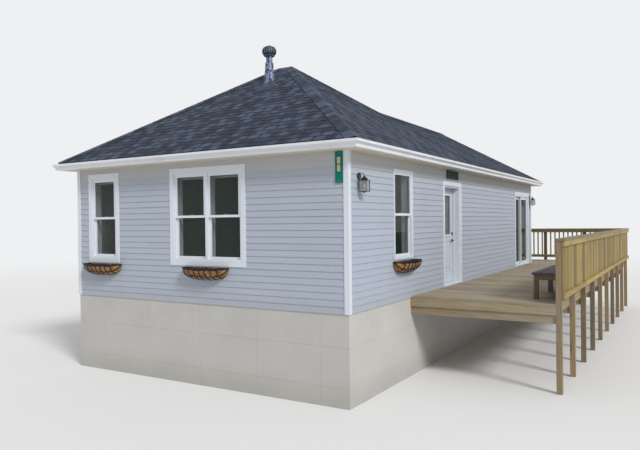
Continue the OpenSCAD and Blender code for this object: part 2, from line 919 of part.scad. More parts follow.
// Four slopes that meet along the hips and the short ridge
module front_roof() {
    reach_x = half_w + roof_reach;
    reach_y = hip_depth / 2 + roof_reach;
    color("darkslategray")
        in_place()
            translate([0, hip_depth / 2, 0])
                for (turn = [0, 180])
                    rotate(turn) {
                        intersection() {
                            translate([-reach_x, -reach_y, 0])
                                rotate([90, 0, 90])
                                    linear_extrude(2 * reach_x)
                                        hip_band();
                            linear_extrude(front_ridge_z + over)
                                polygon([[-reach_x, -reach_y], [reach_x, -reach_y],
                                    [0, reach_x - reach_y]]);
                        }
                        intersection() {
                            translate([-reach_x, reach_y, 0])
                                rotate([90, 0, 0])
                                    linear_extrude(2 * reach_y)
                                        hip_band();
                            linear_extrude(front_ridge_z + over)
                                polygon([[-reach_x, reach_y - hair],
                                    [-reach_x, hair - reach_y],
                                    [reach_y - reach_x - hair, 0]]);
                        }
                    }
}

// Two slopes that run from the rear gable until they meet the hip roof
module rear_roof() {
    y1 = house_l + rake_reach;
    color("darkslategray")
        in_place()
            for (side = [-1, 1])
                difference() {
                    translate([0, y1, 0])
                        rotate([90, 0, 0])
                            linear_extrude(y1 - hip_depth / 2)
                                scale([side, 1])
                                    gable_band(hair, half_w + roof_reach, roof_t, 0);
                    hip_solid(-hair, eave_z - roof_t - over);
                }
}

// Space under the roof boards, from a height up
module under_roof(y1, low) {
    hip_solid(roof_t + hair, low);
    difference() {
        gable_solid(hip_depth / 2, y1, roof_t + hair, low);
        hip_solid(-hair, low - over);
    }
}

// Fascia boards behind the gutters, rake boards and the closed ends of the eaves
module fascia() {
    y1 = house_l + rake_reach;
    color("white")
        in_place() {
            intersection() {
                under_roof(y1, fascia_low);
                union() {
                    block([-half_w - fascia_reach, -fascia_reach, fascia_low],
                        [half_w + fascia_reach, -fascia_in, eave_z + over]);
                    for (side = [-1, 1])
                        translate([side * (half_w + fascia_reach - fascia_t / 2), 0, 0])
                            block([-fascia_t / 2, -fascia_in + hair, fascia_low],
                                [fascia_t / 2, y1 - rake_t - hair, eave_z + over]);
                }
            }
            for (side = [-1, 1])
                rake_board(side, y1);
        }
}

// Board along one slope of the rear gable, with the closed end of the eave below it
module rake_board(side, y1) {
    end_x = half_w + fascia_reach;
    return_x = half_w - corner_w;
    scale([side, 1, 1])
        translate([0, y1, 0])
            rotate([90, 0, 0])
                linear_extrude(rake_t)
                    union() {
                        gable_band(hair, end_x, roof_t + rake_h, roof_t + hair);
                        polygon([[return_x, fascia_low], [end_x, fascia_low],
                            [end_x, gable_z(end_x) - roof_t - hair],
                            [return_x, gable_z(return_x) - roof_t - hair]]);
                    }
}

// Level soffit boards under the eaves and sloping ones under the rear gable
module soffit() {
    y1 = house_l + rake_reach - rake_t - hair;
    reach = fascia_in - hair;
    color("antiquewhite")
        in_place() {
            block([-half_w - reach, -reach, soffit_z], [half_w + reach, 0, wall_top]);
            for (side = [-1, 1])
                translate([side * (half_w + reach / 2), 0, 0])
                    block([-reach / 2, hair, soffit_z], [reach / 2, y1, wall_top]);
            for (side = [-1, 1])
                scale([side, 1, 1])
                    translate([0, y1, 0])
                        rotate([90, 0, 0])
                            linear_extrude(y1 - house_l)
                                gable_band(hair, half_w - corner_w, rake_h, rake_h - soffit_t);
        }
}

// Outline of a gutter: X outward from the fascia, Y up, drawn in by its metal's
// thickness. Its back ends below the roof's edge, lower than its front lip.
module gutter_outline(inset, top) {
    back_drop = 15;
    foot = gutter_w * 0.62 - inset;
    lean = 6;
    step = gutter_h * 0.38 + inset;
    slope = 34;
    polygon([[inset, inset], [foot, inset], [foot + lean, step],
        [gutter_w - inset, step + slope], [gutter_w - inset, top], [inset, top - back_drop]]);
}

// Gutter run along X, from the outline of its section
module gutter_run(length) {
    rotate([90, 0, 90])
        linear_extrude(length)
            difference() {
                gutter_outline(0, gutter_h);
                gutter_outline(gutter_t, gutter_h + 2 * over);
            }
}

// Straight gutters along the front and both sides, mitred at the front corners
// and closed just past the roof's end
module gutters() {
    z0 = gutter_top - gutter_h;
    corner_x = half_w + gutter_reach;
    end_y = house_l + rake_reach + hair + gutter_t;
    color("white")
        in_place()
            translate([0, 0, z0]) {
                intersection() {
                    translate([-corner_x, -fascia_reach, 0])
                        mirror([0, 1, 0])
                            gutter_run(2 * corner_x);
                    linear_extrude(gutter_h)
                        polygon([[-corner_x + hair, -gutter_reach], [corner_x - hair, -gutter_reach],
                            [half_w - hair, 0], [-half_w + hair, 0]]);
                }
                for (side = [-1, 1])
                    scale([side, 1, 1]) {
                        intersection() {
                            translate([half_w + fascia_reach, -gutter_reach, 0])
                                mirror([0, 1, 0])
                                    rotate(-90)
                                        gutter_run(end_y + gutter_reach);
                            linear_extrude(gutter_h)
                                polygon([[half_w, 0], [corner_x, -gutter_reach],
                                    [corner_x, end_y], [half_w, end_y]]);
                        }
                        translate([half_w + fascia_reach, end_y, 0])
                            rotate([90, 0, 0])
                                linear_extrude(gutter_t)
                                    gutter_outline(0, gutter_h);
                    }
            }
}

// Vent pipe with its neck and skirt, and the fixed shaft that carries the turbine
module vent_pipe() {
    pipe_t = 3;
    shoulder = 20;
    flare = 33;
    arm_w = 16;
    arm_h = 10;
    pipe_r = vent_d / 2;
    neck_r = neck_d / 2;
    color("silver")
        in_place()
            translate([vent_x, vent_y, 0]) {
                difference() {
                    rotate_extrude()
                        polygon([[pipe_r - pipe_t, vent_base - vent_d], [pipe_r, vent_base - vent_d],
                            [pipe_r, pipe_top], [neck_r, pipe_top + shoulder], [neck_r, neck_top],
                            [neck_r - pipe_t, neck_top], [neck_r - pipe_t, pipe_top + shoulder],
                            [pipe_r - pipe_t, pipe_top]]);
                    translate([-vent_x, -vent_y, 0])
                        hip_solid(0, 0);
                }
                difference() {
                    rotate_extrude()
                        polygon([[pipe_r + hair, vent_base - vent_d],
                            [pipe_r + flare, vent_base - vent_d], [pipe_r + flare, vent_base],
                            [pipe_r + pipe_t, vent_base + skirt_h],
                            [pipe_r + hair, vent_base + skirt_h]]);
                    translate([-vent_x, -vent_y, 0])
                        hip_solid(0, 0);
                }
                translate([0, 0, neck_top - cross_drop]) {
                    for (turn = [0, 90])
                        rotate(turn)
                            block([1 - neck_r, -arm_w / 2, 0], [neck_r - 1, arm_w / 2, arm_h]);
                    cylinder(r = shaft_r, h = shaft_h);
                }
            }
}

// Outline of the turbine's rounded side at a height, as radius and height: widest just
// below half its height
function bulge(h, inset) =
    [turbine_d / 2 * sqrt(1 - ((h / turbine_h - 0.47) / 0.6) ^ 2) - inset, h];

// Turbine head: a foot ring, curved vanes, a domed cap and the hub on the shaft
module vent_turbine() {
    steps = 8;
    foot_h = 22;
    foot_gap = 5;
    vane_z = 10;
    vane_t = 3;
    cap_lap = 8;
    brim = 6;
    crown_d = 110;
    hub_t = 6;
    hub_h = 60;
    hub_z = turbine_h - 90;
    play = 0.08;
    color("silver")
        in_place()
            translate([vent_x, vent_y, turbine_z]) {
                difference() {
                    cylinder(r = bulge(foot_h / 2, 0)[0], h = foot_h);
                    translate([0, 0, -over])
                        cylinder(r = neck_d / 2 + foot_gap, h = foot_h + 2 * over);
                }
                for (i = [0 : vane_n - 1])
                    rotate(i * 360 / vane_n)
                        rotate_extrude(angle = 216 / vane_n)
                            polygon([
                                for (k = [0 : steps])
                                    bulge(vane_z + (vane_h - vane_z) * k / steps, 0),
                                for (k = [steps : -1 : 0])
                                    bulge(vane_z + (vane_h - vane_z) * k / steps, vane_t)]);
                translate([0, 0, vane_h - cap_lap])
                    cylinder(r1 = bulge(vane_h, 0)[0] + brim, r2 = crown_d / 2,
                        h = turbine_h - vane_h + cap_lap);
                difference() {
                    translate([0, 0, hub_z])
                        cylinder(r = shaft_r + hub_t, h = hub_h);
                    translate([0, 0, hub_z - over])
                        cylinder(r = shaft_r + play, h = hub_h + over);
                }
            }
}

// Sign plate by the front corner and sign board over the entry door, both blank
module sign_plates() {
    board = 18;
    gap = 2;
    plate_u1 = half_w + trim_t - corner_w - gap;
    top = soffit_z - sign_gap;
    color("darkgreen")
        in_place() {
            on_wall(FRONT)
                wall_box(plate_u1 - plate_w, plate_u1, -lap_butt - board, -lap_butt - hair,
                    top - plate_h, top);
            on_wall(RIGHT)
                wall_box(entry_y - sign_w / 2, entry_y + sign_w / 2, -lap_butt - board,
                    -lap_butt - hair, top - sign_h, top);
        }
}

// Runs its children at each lantern: Y outward from the siding, Z 0 at its wall plate
module each_lantern() {
    for (y = lantern_ys)
        translate([half_w + lap_butt, y, lantern_z])
            rotate(-90)
                children();
}

// Wall plate, bent arm, domed roof and four-posted cage of each lantern
module lantern_frames() {
    plate_d = 110;
    plate_t = 14;
    brim_h = 24;
    dome_h = 36;
    stem_d = 20;
    finial_d = 40;
    finial_h = 22;
    eaves = 4;
    half = lantern_w / 2;
    corner = half - lantern_bar / 2;
    arm_r = (lantern_out - lantern_bar / 2) / 2;
    color("black")
        in_place()
            each_lantern() {
                rotate([-90, 0, 0])
                    cylinder(d = plate_d, h = plate_t);
                translate([0, lantern_bar / 2 + arm_r, 0])
                    rotate([90, 0, 90])
                        translate([0, 0, -lantern_bar / 2])
                            rotate_extrude(angle = 180)
                                translate([arm_r - lantern_bar / 2, 0])
                                    square(lantern_bar);
                translate([0, lantern_out, -cage_drop]) {
                    rotate_extrude()
                        polygon([[0, 0], [half, 0], [half * 0.72, brim_h],
                            [stem_d / 2, brim_h + dome_h], [stem_d / 2, cage_drop + 1],
                            [0, cage_drop + 1]]);
                    block([-half - eaves, -half - eaves, -lantern_lid],
                        [half + eaves, half + eaves, 0]);
                    for (sx = [-1, 1], sy = [-1, 1])
                        translate([sx * corner, sy * corner, -lantern_h])
                            block([-lantern_bar / 2, -lantern_bar / 2, 0],
                                [lantern_bar / 2, lantern_bar / 2, lantern_h]);
                    translate([0, 0, -lantern_h])
                        block([-half, -half, 0], [half, half, lantern_bar]);
                    translate([0, 0, -lantern_h - finial_h])
                        cylinder(d1 = finial_d / 3, d2 = finial_d, h = finial_h);
                }
            }
}

module lantern_glass() {
    half = lantern_w / 2 - lantern_bar - hair;
    color("lightyellow", 0.6)
        in_place()
            each_lantern()
                translate([0, lantern_out, -cage_drop - lantern_h])
                    block([-half, -half, lantern_bar + hair],
                        [half, half, lantern_h - lantern_lid - hair]);
}

// Quarter of a long round body with blunt ends: flat at the top and at the wall, grown
// by grow
module basket_body(grow) {
    steps = 16;
    blunt = 0.67;
    rotate([0, 90, 0])
        rotate_extrude(angle = -90)
            polygon([
                for (k = [0 : steps])
                    let (turn = 180 * k / steps - 90)
                        [(basket_r + grow) * cos(turn) ^ blunt,
                            (basket_l / 2 + grow) * sign(turn) * abs(sin(turn)) ^ blunt]]);
}

// Runs its children under each planted window: Y outward, Z 0 at the basket's rim
module each_basket() {
    for (win = planted)
        on_wall(win[0])
            translate([win[1], -lap_butt - hair - bar_t, sill_z - win[4] - rim_drop])
                children();
}

// Iron straps that cradle each basket, with hooks that meet the wall
module basket_frames() {
    step = basket_l / (basket_bar_n + 1);
    half = strap_w / 2;
    hook_h = basket_r * 0.72;
    color("black")
        in_place()
            each_basket() {
                intersection() {
                    difference() {
                        basket_body(bar_t + hair);
                        basket_body(hair);
                    }
                    union() {
                        for (i = [1 : basket_bar_n])
                            translate([-basket_l / 2 + i * step, 0, 0])
                                block([-half, -2 * basket_r, -2 * basket_r], [half, 0, 0]);
                        block([-basket_l, -2 * basket_r, -strap_w], [basket_l, 0, 0]);
                        rotate([45, 0, 0])
                            block([-basket_l, -2 * basket_r, -half], [basket_l, 0, half]);
                    }
                }
                for (i = [1 : basket_bar_n])
                    translate([-basket_l / 2 + i * step, 0, 0])
                        block([-half, 0, -hook_h], [half, bar_t, 0]);
                block([-basket_l / 2, 0, -strap_w], [basket_l / 2, bar_t, 0]);
            }
}

module basket_liners() {
    color("peru")
        in_place()
            each_basket()
                difference() {
                    basket_body(0);
                    translate([0, -liner_t, 1])
                        basket_body(-liner_t);
                }
}

// Deck boards of one rectangle as one sheet
module deck_floor() {
    color("tan")
        in_place() {
            block([deck_x0, deck_front_y, -board_t], [deck_x1, deck_y1, 0]);
            block([-half_w, deck_rear_y, -board_t], [deck_x0 - hair, deck_y1, 0]);
        }
}

// Joists along Y between two rim boards, on cross beams at the given places
module framing(x0, x1, y0, y1, beams) {
    lines = ceil((x1 - x0 - joist_t) / joist_step);
    top = -board_t;
    for (i = [0 : lines])
        translate([x0 + i * (x1 - x0 - joist_t) / lines, 0, 0])
            block([0, y0 + joist_t + hair, top - joist_h], [joist_t, y1 - joist_t - hair, top]);
    for (y = [y0, y1 - joist_t])
        block([x0, y, top - joist_h], [x1, y + joist_t, top]);
    for (y = beams)
        block([x0, y - joist_t / 2, top - 2 * joist_h],
            [x1, y + joist_t / 2, top - joist_h - hair]);
}

module deck_frame() {
    color("olive")
        in_place() {
            framing(half_w + hair, deck_x1, deck_front_y, deck_y1,
                [for (i = [0 : side_bays - 1]) side_post_ys[i]]);
            framing(-half_w, half_w - hair, house_l + hair, deck_y1, [deck_y1 - joist_t / 2]);
        }
}

// Posts that rise from the ground to the railing's cap
module deck_posts() {
    half = post_w / 2;
    color("darkkhaki")
        in_place() {
            for (y = side_post_ys)
                translate([post_x, y, -base_drop])
                    block([-half, -half, 0], [half, half, base_drop + cap_z]);
            for (i = [0 : rear_bays - 1])
                translate([rear_post_xs[i], post_y1, -base_drop])
                    block([-half, -half, 0], [half, half, base_drop + cap_z]);
        }
}

// Close-boarded railing panel along X from 0 to length, its posts behind Y 0
module boarded_panel(length) {
    hang = 30;
    count = floor((length + picket_gap) / (picket_w + picket_gap));
    pitch = (length + picket_gap) / count;
    for (i = [0 : count - 1])
        translate([i * pitch, 0, 0])
            block([0, 0, rail_low_z - hang], [pitch - picket_gap, picket_t, cap_z]);
    for (z = [rail_low_z, cap_z - rail_w])
        block([0, picket_t, z], [length, picket_t + joist_t, z + rail_w]);
}

// Railing panel along X from 0 to length: spaced balusters at Y 0, and rails behind them
module baluster_panel(length) {
    count = ceil(length / baluster_step);
    for (i = [0 : count])
        translate([i * (length - baluster_w) / count, 0, 0])
            block([0, 0, rail_low_z], [baluster_w, baluster_w, cap_z]);
    for (z = [rail_low_z, cap_z - rail_w])
        block([0, baluster_w, z], [length, baluster_w + joist_t, z + rail_w]);
}

module railings() {
    side_l = post_y1 - post_y0 + post_w;
    rear_l = post_x - post_w / 2 + half_w - 2;
    end_l = deck_y1 - deck_rear_y - joist_t - baluster_w;
    color("goldenrod")
        in_place() {
            translate([post_x + post_w / 2 + hair, post_y1 + post_w / 2, 0])
                rotate(-90)
                    boarded_panel(side_l);
            translate([-half_w, post_y1 - post_w / 2 - hair, 0])
                mirror([0, 1, 0])
                    baluster_panel(rear_l);
            translate([-half_w, deck_rear_y, 0])
                rotate(90)
                    mirror([0, 1, 0])
                        baluster_panel(end_l - 2);
        }
}

module rail_caps() {
    inner_y = deck_y1 - joist_t - baluster_w - cap_over;
    color("darkkhaki")
        in_place() {
            block([deck_x1, post_y0 - post_w / 2 - cap_over, cap_z], [x_max, y_max, rail_h]);
            block([-half_w, inner_y, cap_z], [deck_x1 - hair, inner_y + cap_w, rail_h]);
            block([-half_w, deck_rear_y, cap_z], [-half_w + cap_w, inner_y - hair, rail_h]);
        }
}

// Timber bench built against the side railing: its seat rests on legs along the
// deck's side and on a ledger that is fixed to the railing posts
module deck_bench() {
    seat_t = 38;
    bearer_h = 89;
    leg_inset = 24;
    leg_end = 70;
    x1 = deck_x1 - hair;
    leg_x = x1 - bench_w + leg_inset;
    ledger_x = x1 - joist_t;
    top = bench_h - seat_t - hair;
    low = top - bearer_h;
    leg_ys = [for (i = [0 : bench_leg_n - 1])
        bench_y + leg_end + i * (bench_l - 2 * leg_end) / (bench_leg_n - 1)];
    color("saddlebrown")
        in_place() {
            for (y = leg_ys) {
                block([leg_x, y - bench_leg_w / 2, 0],
                    [leg_x + bench_leg_w, y + bench_leg_w / 2, low - hair]);
                block([leg_x, y - joist_t / 2, low], [ledger_x - hair, y + joist_t / 2, top]);
            }
            for (i = [1 : bench_leg_n - 1])
                block([leg_x, leg_ys[i - 1] + joist_t / 2 + hair, low],
                    [leg_x + joist_t, leg_ys[i] - joist_t / 2 - hair, top]);
            block([ledger_x, bench_y, low], [x1, bench_y + bench_l, top]);
            block([x1 - bench_w, bench_y, bench_h - seat_t], [x1, bench_y + bench_l, bench_h]);
        }
}

foundation();
floor_slab();
front_wall();
left_wall();
rear_wall();
right_wall_front();
right_wall_middle();
right_wall_rear();
door_heads();
wall_plates();
ceiling();
siding();
corner_boards();
casings();
window_frames();
window_sashes();
window_glass();
entry_frame();
entry_door();
entry_glass();
entry_hardware();
patio_frame();
patio_fixed_panel();
patio_slider();
patio_slider_glass();
front_roof();
rear_roof();
fascia();
soffit();
gutters();
vent_pipe();
vent_turbine();
sign_plates();
lantern_frames();
lantern_glass();
basket_frames();
basket_liners();
deck_floor();
deck_frame();
deck_posts();
railings();
rail_caps();
deck_bench();
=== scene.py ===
"""Boathouse: its shingles, siding paint, planter liners, deck boards, bench and railing.

Every piece is built round the CAD frame and takes its place and size from it.
"""
import math
import random

import bpy
from mathutils import Matrix, Vector


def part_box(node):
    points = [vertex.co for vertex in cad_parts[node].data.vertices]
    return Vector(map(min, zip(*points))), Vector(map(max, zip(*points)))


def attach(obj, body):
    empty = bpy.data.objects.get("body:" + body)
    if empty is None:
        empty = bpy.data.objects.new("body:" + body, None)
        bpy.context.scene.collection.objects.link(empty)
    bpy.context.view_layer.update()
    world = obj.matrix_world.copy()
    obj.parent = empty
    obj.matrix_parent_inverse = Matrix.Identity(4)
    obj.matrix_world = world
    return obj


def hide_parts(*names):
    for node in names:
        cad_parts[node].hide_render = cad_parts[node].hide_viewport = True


bl_info = {
    "name": "Boathouse Builder",
    "version": (1, 0, 0),
    "blender": (4, 5, 0),
    "location": "3D View > Sidebar > Boathouse",
    "description": "Shingles, deck, railing, planters and finishes of a boathouse on its CAD frame",
    "category": "Object",
}

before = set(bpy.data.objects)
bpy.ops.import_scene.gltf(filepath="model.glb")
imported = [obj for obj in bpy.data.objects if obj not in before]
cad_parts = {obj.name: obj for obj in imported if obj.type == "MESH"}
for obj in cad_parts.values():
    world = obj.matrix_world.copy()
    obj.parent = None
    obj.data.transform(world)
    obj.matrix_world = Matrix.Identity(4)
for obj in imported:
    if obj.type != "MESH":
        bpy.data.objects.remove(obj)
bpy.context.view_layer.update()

# The house frame: X from the middle of the front wall, Y from its outer face, Z from the floor
WALL_LO, WALL_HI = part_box("front_wall")
HALF_W = (WALL_HI.x - WALL_LO.x) / 2
ORIGIN = Vector(((WALL_HI.x + WALL_LO.x) / 2, WALL_LO.y, WALL_LO.z))
HOUSE_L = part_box("rear_wall")[1].y - ORIGIN.y

# The roof: how far it passes the walls, its eaves, slopes and ends, and where its valleys start
HIP_LO, HIP_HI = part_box("front_roof")
GABLE_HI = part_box("rear_roof")[1]
REACH = HIP_HI.x - ORIGIN.x - HALF_W
HIP_DEPTH = HIP_HI.y - HIP_LO.y - 2 * REACH
HIP_MID = HIP_DEPTH / 2
HIP_FAR = HIP_DEPTH + REACH
ROOF_T = 0.04
EAVE_X = HALF_W + REACH
EAVE_Z = HIP_LO.z - ORIGIN.z + ROOF_T
HIP_RUN = min(HALF_W, HIP_MID) + REACH
HIP_PITCH = (HIP_HI.z - ORIGIN.z - EAVE_Z) / HIP_RUN
GABLE_PITCH = (GABLE_HI.z - ORIGIN.z - EAVE_Z) / EAVE_X
GABLE_END = GABLE_HI.y - ORIGIN.y
VALLEY = HIP_FAR - GABLE_PITCH * EAVE_X / HIP_PITCH

# Siding and trim of the CAD model, and the gap between pieces that touch
COURSE = 0.106
SIDING_DROP = 0.025
SIDING_T = 0.016
TRIM_T = 0.022
CORNER_W = 0.085
HAIR = 0.0003

# The deck's boards, its gap to the walls' trim, and its posts
DECK_LO, DECK_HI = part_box("deck_floor")
DECK_GAP = 0.006
POST_W = 0.089

# Windows: wall, place along it, width of one light, lights
WINDOWS = (("front", -2.31, 0.68, 1), ("front", 0.29, 0.76, 2), ("right", 2.05, 0.78, 1),
           ("rear", 0.0, 0.76, 2), ("left", 2.05, 0.68, 1), ("left", 6.095, 0.68, 1),
           ("left", 10.14, 0.68, 1))
SILL_Z, WINDOW_H = 0.72, 1.53

# Planters: wall, place along it, height of the rim over the floor
PLANTERS = (("front", -2.31, 0.608), ("front", 0.29, 0.608), ("right", 2.05, 0.673))


def spot(x, y, z):
    """A point of the house frame, in the frame that every piece uses."""
    return ORIGIN + Vector((x, y, z))


# ---------------------------------------------------------------- settings


class RoofSettings(bpy.types.PropertyGroup):
    """Sizes and colour of the shingles and caps."""

    course: bpy.props.FloatProperty(
        name="Course height", description="Exposed height of one course of shingles",
        default=0.143, min=0.1, max=0.25, unit="LENGTH")
    tab_low: bpy.props.FloatProperty(
        name="Narrowest tab", description="Width of the narrowest raised tab",
        default=0.085, min=0.05, max=0.2, unit="LENGTH")
    tab_high: bpy.props.FloatProperty(
        name="Widest tab", description="Width of the widest raised tab",
        default=0.2, min=0.1, max=0.4, unit="LENGTH")
    ply: bpy.props.FloatProperty(
        name="Shingle thickness", description="Thickness of one layer of shingle at its lower edge",
        default=0.0045, min=0.002, max=0.01, unit="LENGTH")
    cap: bpy.props.FloatProperty(
        name="Cap width", description="Width of the hip and ridge caps, over both slopes",
        default=0.27, min=0.2, max=0.4, unit="LENGTH")
    dark: bpy.props.FloatVectorProperty(
        name="Darkest granules", description="Colour of the darkest tabs",
        default=(0.005, 0.0105, 0.027), subtype="COLOR")
    pale: bpy.props.FloatVectorProperty(
        name="Palest granules", description="Colour of the palest tabs",
        default=(0.063, 0.085, 0.132), subtype="COLOR")


class DeckSettings(bpy.types.PropertyGroup):
    """Sizes and colours of the deck boards and the railing."""

    board: bpy.props.FloatProperty(
        name="Board width", description="Width of one deck board",
        default=0.14, min=0.08, max=0.2, unit="LENGTH")
    gap: bpy.props.FloatProperty(
        name="Board gap", description="Gap between neighbouring deck boards",
        default=0.0056, min=0.002, max=0.012, unit="LENGTH")
    picket: bpy.props.FloatProperty(
        name="Railing board width", description="Width of the side railing's upright boards",
        default=0.14, min=0.08, max=0.16, unit="LENGTH")
    picket_gap: bpy.props.FloatProperty(
        name="Railing board gap", description="Gap between the side railing's upright boards",
        default=0.008, min=0.003, max=0.03, unit="LENGTH")
    baluster: bpy.props.FloatProperty(
        name="Baluster width", description="Width of the square balusters at the rear",
        default=0.038, min=0.03, max=0.05, unit="LENGTH")
    boards: bpy.props.FloatVectorProperty(
        name="Deck timber", description="Colour of the deck boards",
        default=(0.37, 0.292, 0.19), subtype="COLOR")
    rails: bpy.props.FloatVectorProperty(
        name="Railing timber", description="Colour of the railing's boards",
        default=(0.3, 0.213, 0.064), subtype="COLOR")


class BenchSettings(bpy.types.PropertyGroup):
    """Seat boards and colours of the bench."""

    boards: bpy.props.IntProperty(
        name="Seat boards", description="Number of boards in the seat", default=3, min=2, max=5)
    # Painted shade: the seat's dark blue-grey stands in for shade and reflected sky on its top
    seat: bpy.props.FloatVectorProperty(
        name="Seat timber", description="Colour of the seat boards",
        default=(0.095, 0.09, 0.105), subtype="COLOR")
    legs: bpy.props.FloatVectorProperty(
        name="Leg timber", description="Colour of the legs and bearers",
        default=(0.2, 0.135, 0.075), subtype="COLOR")


class PlanterSettings(bpy.types.PropertyGroup):
    """Sizes and colour of the planter liners."""

    length: bpy.props.FloatProperty(
        name="Planter length", description="Length of a planter at its rim",
        default=0.97, min=0.4, max=1.2, unit="LENGTH")
    depth: bpy.props.FloatProperty(
        name="Planter depth", description="Depth and height of a planter",
        default=0.215, min=0.1, max=0.3, unit="LENGTH")
    sag: bpy.props.FloatProperty(
        name="Front sag", description="Drop of the liner's front edge below the rim",
        default=0.034, min=0.0, max=0.08, unit="LENGTH")
    liner: bpy.props.FloatProperty(
        name="Liner thickness", description="Thickness of the fibre liner",
        default=0.014, min=0.006, max=0.025, unit="LENGTH")
    blunt: bpy.props.FloatProperty(
        name="End roundness", description="1 for pointed ends, less for blunt ones",
        default=0.67, min=0.4, max=1.0)
    fibre: bpy.props.FloatVectorProperty(
        name="Fibre colour", description="Colour of the liner's fibres",
        default=(0.36, 0.175, 0.066), subtype="COLOR")


class PaintSettings(bpy.types.PropertyGroup):
    """Colours of the painted walls, trim, doors and plates."""

    siding: bpy.props.FloatVectorProperty(
        name="Siding", description="Colour of the lap siding",
        default=(0.378, 0.42, 0.495), subtype="COLOR")
    trim: bpy.props.FloatVectorProperty(
        name="Trim", description="Colour of the casings, corner boards and frames",
        default=(0.65, 0.69, 0.75), subtype="COLOR")
    door: bpy.props.FloatVectorProperty(
        name="Entry door", description="Colour of the entry door leaf",
        default=(0.52, 0.58, 0.655), subtype="COLOR")
    gutter: bpy.props.FloatVectorProperty(
        name="Gutter", description="Colour of the gutters",
        default=(0.7, 0.73, 0.76), subtype="COLOR")
    soffit: bpy.props.FloatVectorProperty(
        name="Soffit", description="Colour of the soffit boards",
        default=(0.73, 0.62, 0.43), subtype="COLOR")
    plate: bpy.props.FloatVectorProperty(
        name="Corner plate", description="Colour of the upright plate by the front corner",
        default=(0.002, 0.155, 0.125), subtype="COLOR")
    board: bpy.props.FloatVectorProperty(
        name="Sign board", description="Colour of the board over the entry door",
        default=(0.008, 0.032, 0.02), subtype="COLOR")


class StageSettings(bpy.types.PropertyGroup):
    """Camera and light of the stage."""

    lens: bpy.props.FloatProperty(
        name="Lens", description="Focal length of the camera", default=34.77, min=20, max=120)
    sun: bpy.props.FloatProperty(
        name="Key light", description="Strength of the broad key light", default=2.15, min=0, max=6)
    sky: bpy.props.FloatProperty(
        name="Fill light", description="Strength of the even light from all round",
        default=0.58, min=0, max=2)
    backdrop: bpy.props.FloatVectorProperty(
        name="Backdrop", description="Colour of the backdrop", default=(0.86, 0.87, 0.88),
        subtype="COLOR")


GROUPS = {
    "boathouse_roof": RoofSettings,
    "boathouse_deck": DeckSettings,
    "boathouse_bench": BenchSettings,
    "boathouse_planter": PlanterSettings,
    "boathouse_paint": PaintSettings,
    "boathouse_stage": StageSettings,
}

# ------------------------------------------------------------- node writing


class Num:
    """A number in a node tree: sums and products of it add their own Math nodes."""

    def __init__(self, nodes, socket):
        self.nodes = nodes
        self.socket = socket

    def math(self, operation, first, second=0.0, clamp=False):
        """One Math node over two values."""
        return self.nodes.node(
            "Math", {"operation": operation, "use_clamp": clamp}, {0: first, 1: second})

    def __add__(self, other):
        return self.math("ADD", self, other)

    __radd__ = __add__

    def __sub__(self, other):
        return self.math("SUBTRACT", self, other)

    def __rsub__(self, other):
        return self.math("SUBTRACT", other, self)

    def __mul__(self, other):
        return self.math("MULTIPLY", self, other)

    def __truediv__(self, other):
        return self.math("DIVIDE", self, other)

    def __gt__(self, other):
        return self.math("GREATER_THAN", self, other)

    def __lt__(self, other):
        return self.math("LESS_THAN", self, other)

    def floor(self):
        """The whole number below."""
        return self.math("FLOOR", self)

    def root(self):
        """The square root."""
        return self.math("SQRT", self)

    def limit(self):
        """Held between 0 and 1."""
        return self.math("ADD", self, 0.0, clamp=True)

    def ramp(self, low, high):
        """0 below low, 1 above high, and smooth between."""
        return self.nodes.node(
            "MapRange", {"interpolation_type": "SMOOTHSTEP"},
            {"Value": self, "From Min": low, "From Max": high})

    def lines(self, step, core, edge):
        """1 on a line in the middle of every step, 0 between them.

        A line is full up to core from its middle and gone at edge, both in parts of the step.
        """
        part = self.math("FRACT", self / step)
        return 1 - self.math("ABSOLUTE", part - 0.5).ramp(core, edge)


class Nodes:
    """A node tree whose nodes all come from the same method."""

    def __init__(self, tree):
        self.tree = tree

    def node(self, kind, settings=None, values=None, out=0):
        """A node of a type, with its settings and then its sockets' values or links."""
        made = self.tree.nodes.new("ShaderNode" + kind)
        for name, value in (settings or {}).items():
            setattr(made, name, value)
        for name, value in (values or {}).items():
            self.link(made.inputs[name], value)
        return Num(self, made.outputs[out])

    def link(self, socket, value):
        """Sets a socket to a value, or links it."""
        if isinstance(value, Num):
            self.tree.links.new(value.socket, socket)
        elif socket.type == "RGBA":
            socket.default_value = (*value[:3], 1)
        else:
            socket.default_value = value

    def seen(self):
        """1 for what is seen straight on, mirrored or through glass, 0 for light on a piece."""
        path = self.tree.nodes.new("ShaderNodeLightPath")
        straight, mirrored, through = (Num(self, path.outputs["Is %s Ray" % kind])
                                       for kind in ("Camera", "Glossy", "Transmission"))
        return (straight + mirrored + through).limit()


